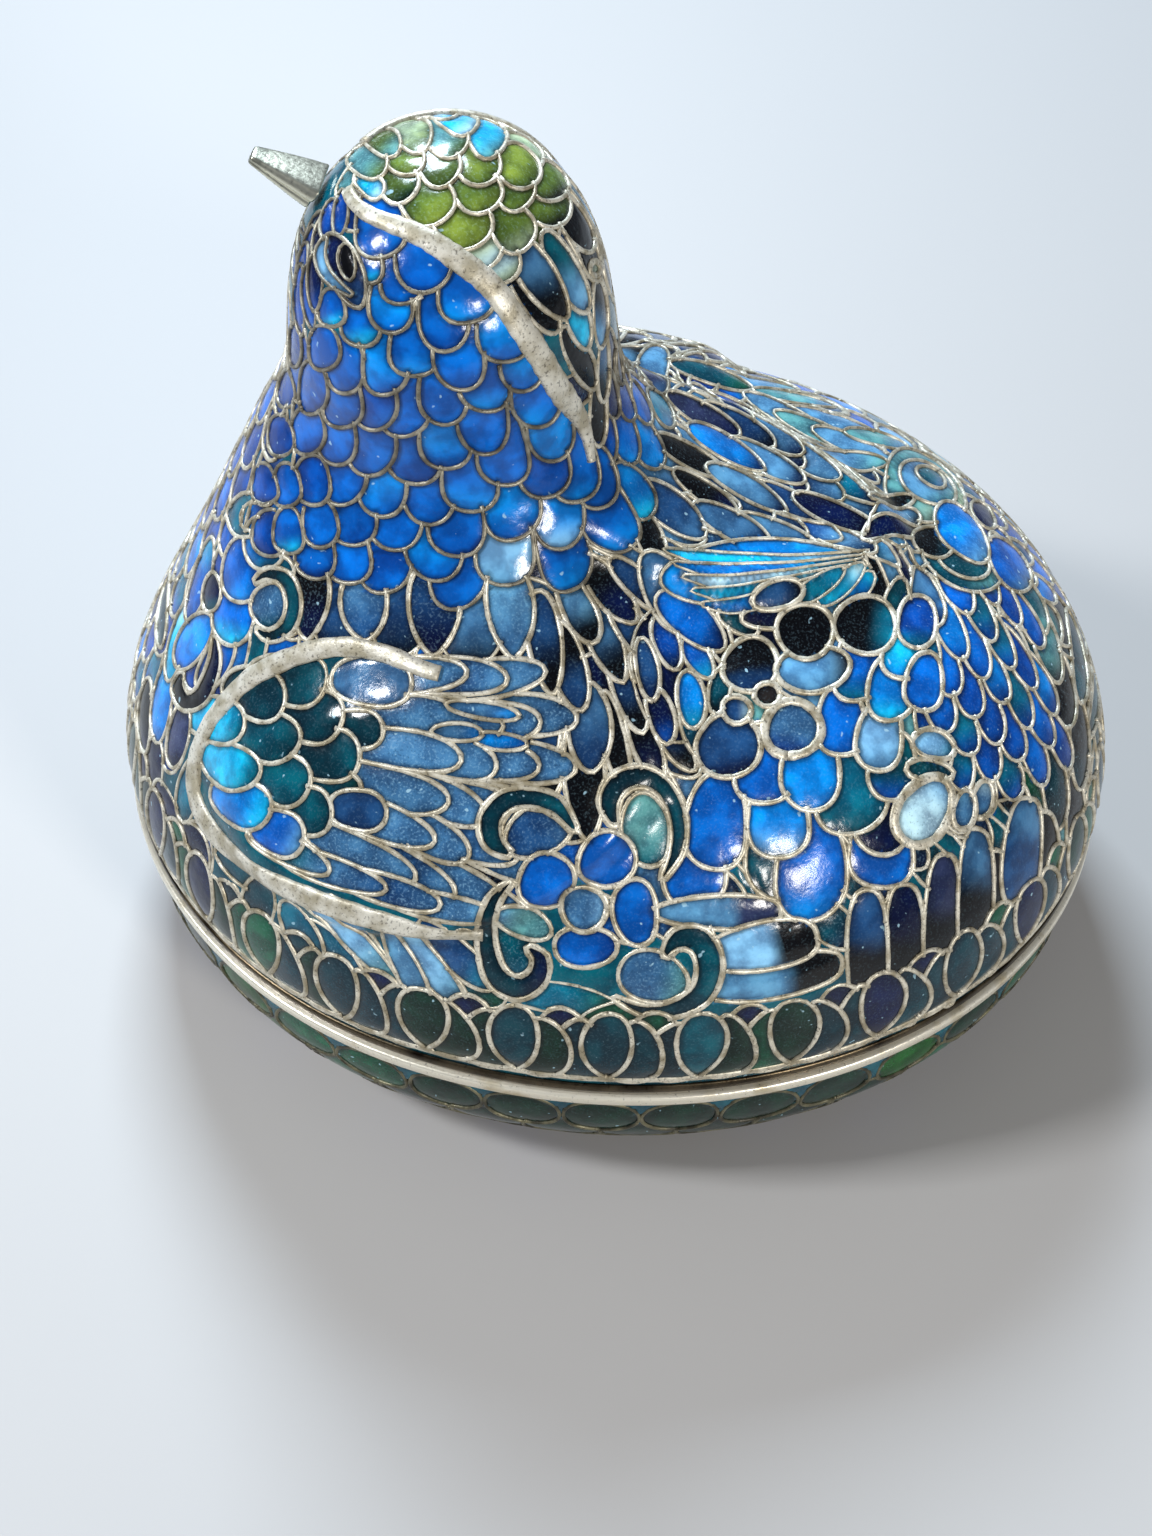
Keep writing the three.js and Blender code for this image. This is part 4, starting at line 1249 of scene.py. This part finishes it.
def enamel_bowl():
    """The bowl: an outer skin with oval green and blue cells in rows, an inner wall and a foot."""
    bowl = Pattern(on_bowl, bowl_slope)
    count = 36
    for k, height in enumerate((2.2, 5.6, 9.2, 12.9)):
        turn = turns(count, 0.5 * (k % 2))
        centres = bowl_point(turn, np.full(count, height))
        glazes = ["royal", "petrol", "navy"] if k < 2 else ["moss", "forest", "green", "forest"]
        headings = bowl_point(turn, np.full(count, height - 0.5)) - centres
        bowl.lay(centres, headings, lambda: leaf(2.6, 3.2, 4.0, 0.9, 0.8), glazes, wire=0.4)
    columns, rows, inner_rows, closer_below = 480, 46, 14, 1.15
    turn = turns(columns)
    heights = BOWL_DEPTH * np.linspace(0, 1, rows) ** closer_below
    outer = bowl_point(turn[None], heights[:, None] + 0 * turn[None]).reshape(-1, 3)
    normals = bowl_slope(outer)
    tint, edge = bowl.colour(outer, normals)
    level = GLAZE_AT_WIRE + GLAZE_DOME * np.sqrt(edge / DOME_REACH)
    flat_foot = np.clip(outer[:, 2], 0, 1)
    outer = outer + normals * (level * flat_foot)[:, None] * (1, 1, 0)
    inner_heights, inner_turn = np.linspace(BOWL_DEPTH, BOWL_WALL, inner_rows)[:, None], turn[None, ::4]
    inner = around(inner_turn, LIP_OVERHANG + BOWL_WALL, inner_heights + 0 * inner_turn,
                   narrowing(inner_heights))
    points = np.concatenate([[[0, 0, 0]], outer, inner.reshape(-1, 3), [[0, 0, BOWL_WALL]]])
    hidden = len(points) - 1 - len(outer)
    plain = np.append(linear("forest"), 0.1)
    tint = np.vstack([plain[None], tint, np.tile(plain, (hidden, 1))])
    edge = np.concatenate([[DOME_REACH], edge, np.full(hidden, DOME_REACH)])
    counts = [1] + [columns] * rows + [columns // 4] * inner_rows + [1]
    piece = mesh_object("enamel_bowl", points, joined(counts), BOWL_ENAMEL)
    glaze_attributes(piece, tint, edge)
    wires = wire_mesh("bowl_wires", bowl.runs, bowl_slope, DARK_WIRE)
    return piece, wires


WING_BAND = [
    (-0.128, 0.481), (-0.22, 0.468), (-0.295, 0.4), (-0.35, 0.305), (-0.367, 0.225),
    (-0.335, 0.198), (-0.25, 0.227), (-0.16, 0.241), (-0.072, 0.238),
]
WING_BAND_WIDTHS = [1.5, 1.9, 2.0, 2.1, 2.3, 2.6, 2.4, 2.2, 1.3]
BROW_BAND = [
    (-0.222, 0.963), (-0.165, 0.966), (-0.125, 0.948), (-0.09, 0.91), (-0.06, 0.836),
    (-0.04, 0.755), (-0.026, 0.695), (-0.018, 0.642),
]
BROW_BAND_WIDTHS = [1.2, 1.8, 2.1, 2.2, 2.3, 2.4, 1.6, 0.8]


def band(name, route, widths, material):
    """A flat strip laid on both flanks along a side-view route: a low domed profile whose width
    follows a list of widths along it, with closed ends."""
    steps = 170
    line = curve_through([from_shares(x, 0, z) for x, z in route], steps)
    width = widths_along(widths, steps)
    width = width * (1 + 0.05 * np.sin(np.arange(steps) * 0.9) * np.sin(np.arange(steps) * 0.23))
    across_shares = np.array([-0.5, -0.5, -0.42, -0.2, 0.2, 0.42, 0.5, 0.5])
    heights = np.array([-0.7, 0.02, 0.2, BAND_TOP, BAND_TOP, 0.2, 0.02, -0.7])
    points, faces = [], []
    for side in (-1.0, 1.0):
        middle = cast_in(line * (1, 0, 1) + (0, side * 70.0, 0), (0, -side, 0))
        up = unit(bird_slope(middle))
        across = unit(np.cross(up, np.gradient(middle, axis=0)))
        rows = on_bird(middle[:, None] + across[:, None] * (across_shares[:, None] * width[:, None, None]))
        rows = rows + unit(bird_slope(rows)) * heights[:, None]
        rings = len(points) * rows[..., 0].size + np.arange(rows[..., 0].size).reshape(steps, -1)
        points.append(rows.reshape(-1, 3))
        beside = np.roll(rings, -1, 1)
        faces += np.stack([rings[:-1], beside[:-1], beside[1:], rings[1:]], -1).reshape(-1, 4).tolist()
        faces += [rings[0][::-1].tolist(), rings[-1].tolist()]
    return mesh_object(name, np.concatenate(points), faces, material)


def ring_piece(name, profile, material, columns=360):
    """A rim: a closed profile of inset and height carried round the bird's lower edge."""
    rings = [around(turns(columns), inset, height) for inset, height in profile]
    faces = joined([columns] * len(profile), closed=True)
    return mesh_object(name, np.concatenate(rings), faces, material)


def rounded(low, high, outer, inner, radius):
    """Profile of a bar from the outer foot up, over and down inside, with round outer corners."""
    turn = np.radians(np.linspace(-90, 0, 4))
    foot = [(outer + radius - radius * np.cos(a), low + radius + radius * np.sin(a)) for a in turn]
    top = [(outer + radius - radius * np.cos(a), high - radius + radius * np.sin(-a)) for a in turn[::-1]]
    return foot + top + [(inner, high), (inner, low)]


def beak():
    """The beak: a blunt tapered wedge, flat on top and ridged below, with a mouth line."""
    length, width, height, tip_share, groove, tilt = 6.2, 5.2, 3.6, 0.36, 0.28, 28.5
    cos, sin = cos_sin(tilt)
    ahead, up = np.array([-cos, 0, sin]), np.array([sin, 0, cos])
    axis = from_shares(FORMS[3]["x"] - 0.094, 0, FORMS[3]["z"] + 0.1205)
    half = [(0, 0.5), (0.72, 0.45), (0.9, 0.4), (1, 0.12), (1 - groove, 0), (0.92, -0.1), (0.5, -0.4)]
    section = np.array(half + [(0, -0.5)] + [(-w, h) for w, h in half[:0:-1]])
    shares = np.array([0, 0.03, 0.2, 0.4, 0.6, 0.8, 0.94, 1.0])

    def against_head(origins):
        return origins + ahead * cast_out(origins, ahead + 0 * origins, 2.0, JOINT_GAP)[:, None]

    root = against_head(axis[None])[0]
    rings = []
    for share in shares:
        size = 1 + (tip_share - 1) * share**1.15
        offset = up * (section[:, 1:] * height * size) + (0, 1, 0) * (section[:, :1] * width * size / 2)
        rings.append(against_head(axis + offset) * (1 - share) + (root + offset + ahead * length) * share)
    points = np.concatenate([root[None]] + rings + [rings[-1].mean(0)[None]])
    piece = mesh_object("beak_plate", points, joined([1] + [len(section)] * len(shares) + [1]), BEAK_METAL)
    finer = piece.modifiers.new("finer", "SUBSURF")
    finer.levels = finer.render_levels = 2
    return piece


def declare(piece, slot, *nodes):
    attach(piece, "root")
    if nodes:
        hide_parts(*nodes)


declare(enamel_bird(), "bird_enamel", "lid_shell")
for side in (0, 1):
    turn = np.linspace(np.pi * side, np.pi * (side + 1), 400)
    foot = on_bird(around(turn, 0.0, LID_BASE + FOOT_WIRE_HEIGHT))
    bird.runs.append(dict(points=foot, wire=FOOT_WIRE, far=side == 1, head=False))
near_runs = [run for run in bird.runs if not run["far"] and not run["head"]]
far_runs = [run for run in bird.runs if run["far"] and not run["head"]]
head_runs = [run for run in bird.runs if run["head"]]
declare(wire_mesh("near_wires", near_runs, bird_slope, CREAM_WIRE), "cell_wire")
declare(wire_mesh("far_wires", far_runs, bird_slope, CREAM_WIRE), "cell_wire")
declare(wire_mesh("head_wires", head_runs, bird_slope, FINE_WIRE), "cell_wire")
declare(band("wing_bands", WING_BAND, WING_BAND_WIDTHS, BAND_METAL), "cell_wire")
declare(band("brow_bands", BROW_BAND, BROW_BAND_WIDTHS, BAND_METAL), "cell_wire")
bowl, bowl_wires = enamel_bowl()
declare(bowl, "bowl_enamel", "base_bowl")
declare(bowl_wires, "cell_wire")
lip = rounded(LIP_BOTTOM, LIP_TOP, 0.03, FLANGE_OUTER, 0.35)
lip[-2:] = [
    (FLANGE_OUTER, LIP_TOP), (FLANGE_OUTER, FLANGE_TOP),
    (FLANGE_INNER, FLANGE_TOP), (FLANGE_INNER, LIP_BOTTOM),
]
declare(ring_piece("bright_lip", lip, BRIGHT_RIM), "bright_rim", "base_rim")
# The lid's rim: its dark finish is a painted shadow of the gap above the base's lip.
lid_edge = rounded(LID_RIM_BOTTOM, LID_RIM_TOP, LID_INSET, LID_INSET + LID_WALL, 0.3)
declare(ring_piece("shadow_and_wear_edge", lid_edge, SHADOW_AND_WEAR_RIM), "aged_rim", "lid_rim")
declare(beak(), "beak_metal", "beak")


# Floor, light and camera

FLOOR_HALF, LAMP_AIM = 900, (0, 0, 40)


def studio():
    scene = bpy.context.scene
    corners = np.array([(-1, -1, 0), (1, -1, 0), (1, 1, 0), (-1, 1, 0)]) * FLOOR_HALF
    matt = Finish("floor", Base_Color=(0.44, 0.43, 0.42, 1), Roughness=0.55)
    mesh_object("floor", corners, [(0, 1, 2, 3)], matt.material)
    world = bpy.data.worlds.new("studio")
    world.use_nodes = True
    sky = world.node_tree.nodes["Background"].inputs
    sky["Color"].default_value, sky["Strength"].default_value = (0.78, 0.86, 1.0, 1), 0.2
    scene.world = world
    scene.view_settings.view_transform = "Standard"
    for name, place, size, power, colour in [
        ("window", (-120, 330, 420), 160, 3.8, (0.72, 0.86, 1.0)),
        ("key", (-330, -120, 380), 80, 1.8, (0.95, 0.97, 1.0)),
        ("fill", (300, -360, 260), 90, 1.5, (1.0, 0.96, 0.9)),
    ]:
        lamp = bpy.data.lights.new(name, "AREA")
        lamp.size, lamp.energy, lamp.color = size * MM, power, colour
        light = bpy.data.objects.new(name, lamp)
        scene.collection.objects.link(light)
        place = np.array(place, float)
        back = unit(place - LAMP_AIM)
        right = unit(np.cross((0, 0, 1), back))
        light.matrix_world = placed_matrix(right, np.cross(back, right), back, place)
    camera = bpy.data.objects.new("camera", bpy.data.cameras.new("camera"))
    camera.data.sensor_width = SENSOR
    camera.data.lens = SENSOR * LENS_PIXELS / PHOTO_HEIGHT
    camera.data.clip_start, camera.data.clip_end = 0.01, 10.0
    camera.matrix_world = placed_matrix(CAMERA_RIGHT, CAMERA_UP, CAMERA_BACK, CAMERA_PLACE)
    scene.collection.objects.link(camera)
    scene.camera = camera


def placed_matrix(right, up, back, place):
    columns = np.stack([right, up, back, place * MM], -1)
    return Matrix(np.vstack([columns, [0, 0, 0, 1]]).tolist())


studio()
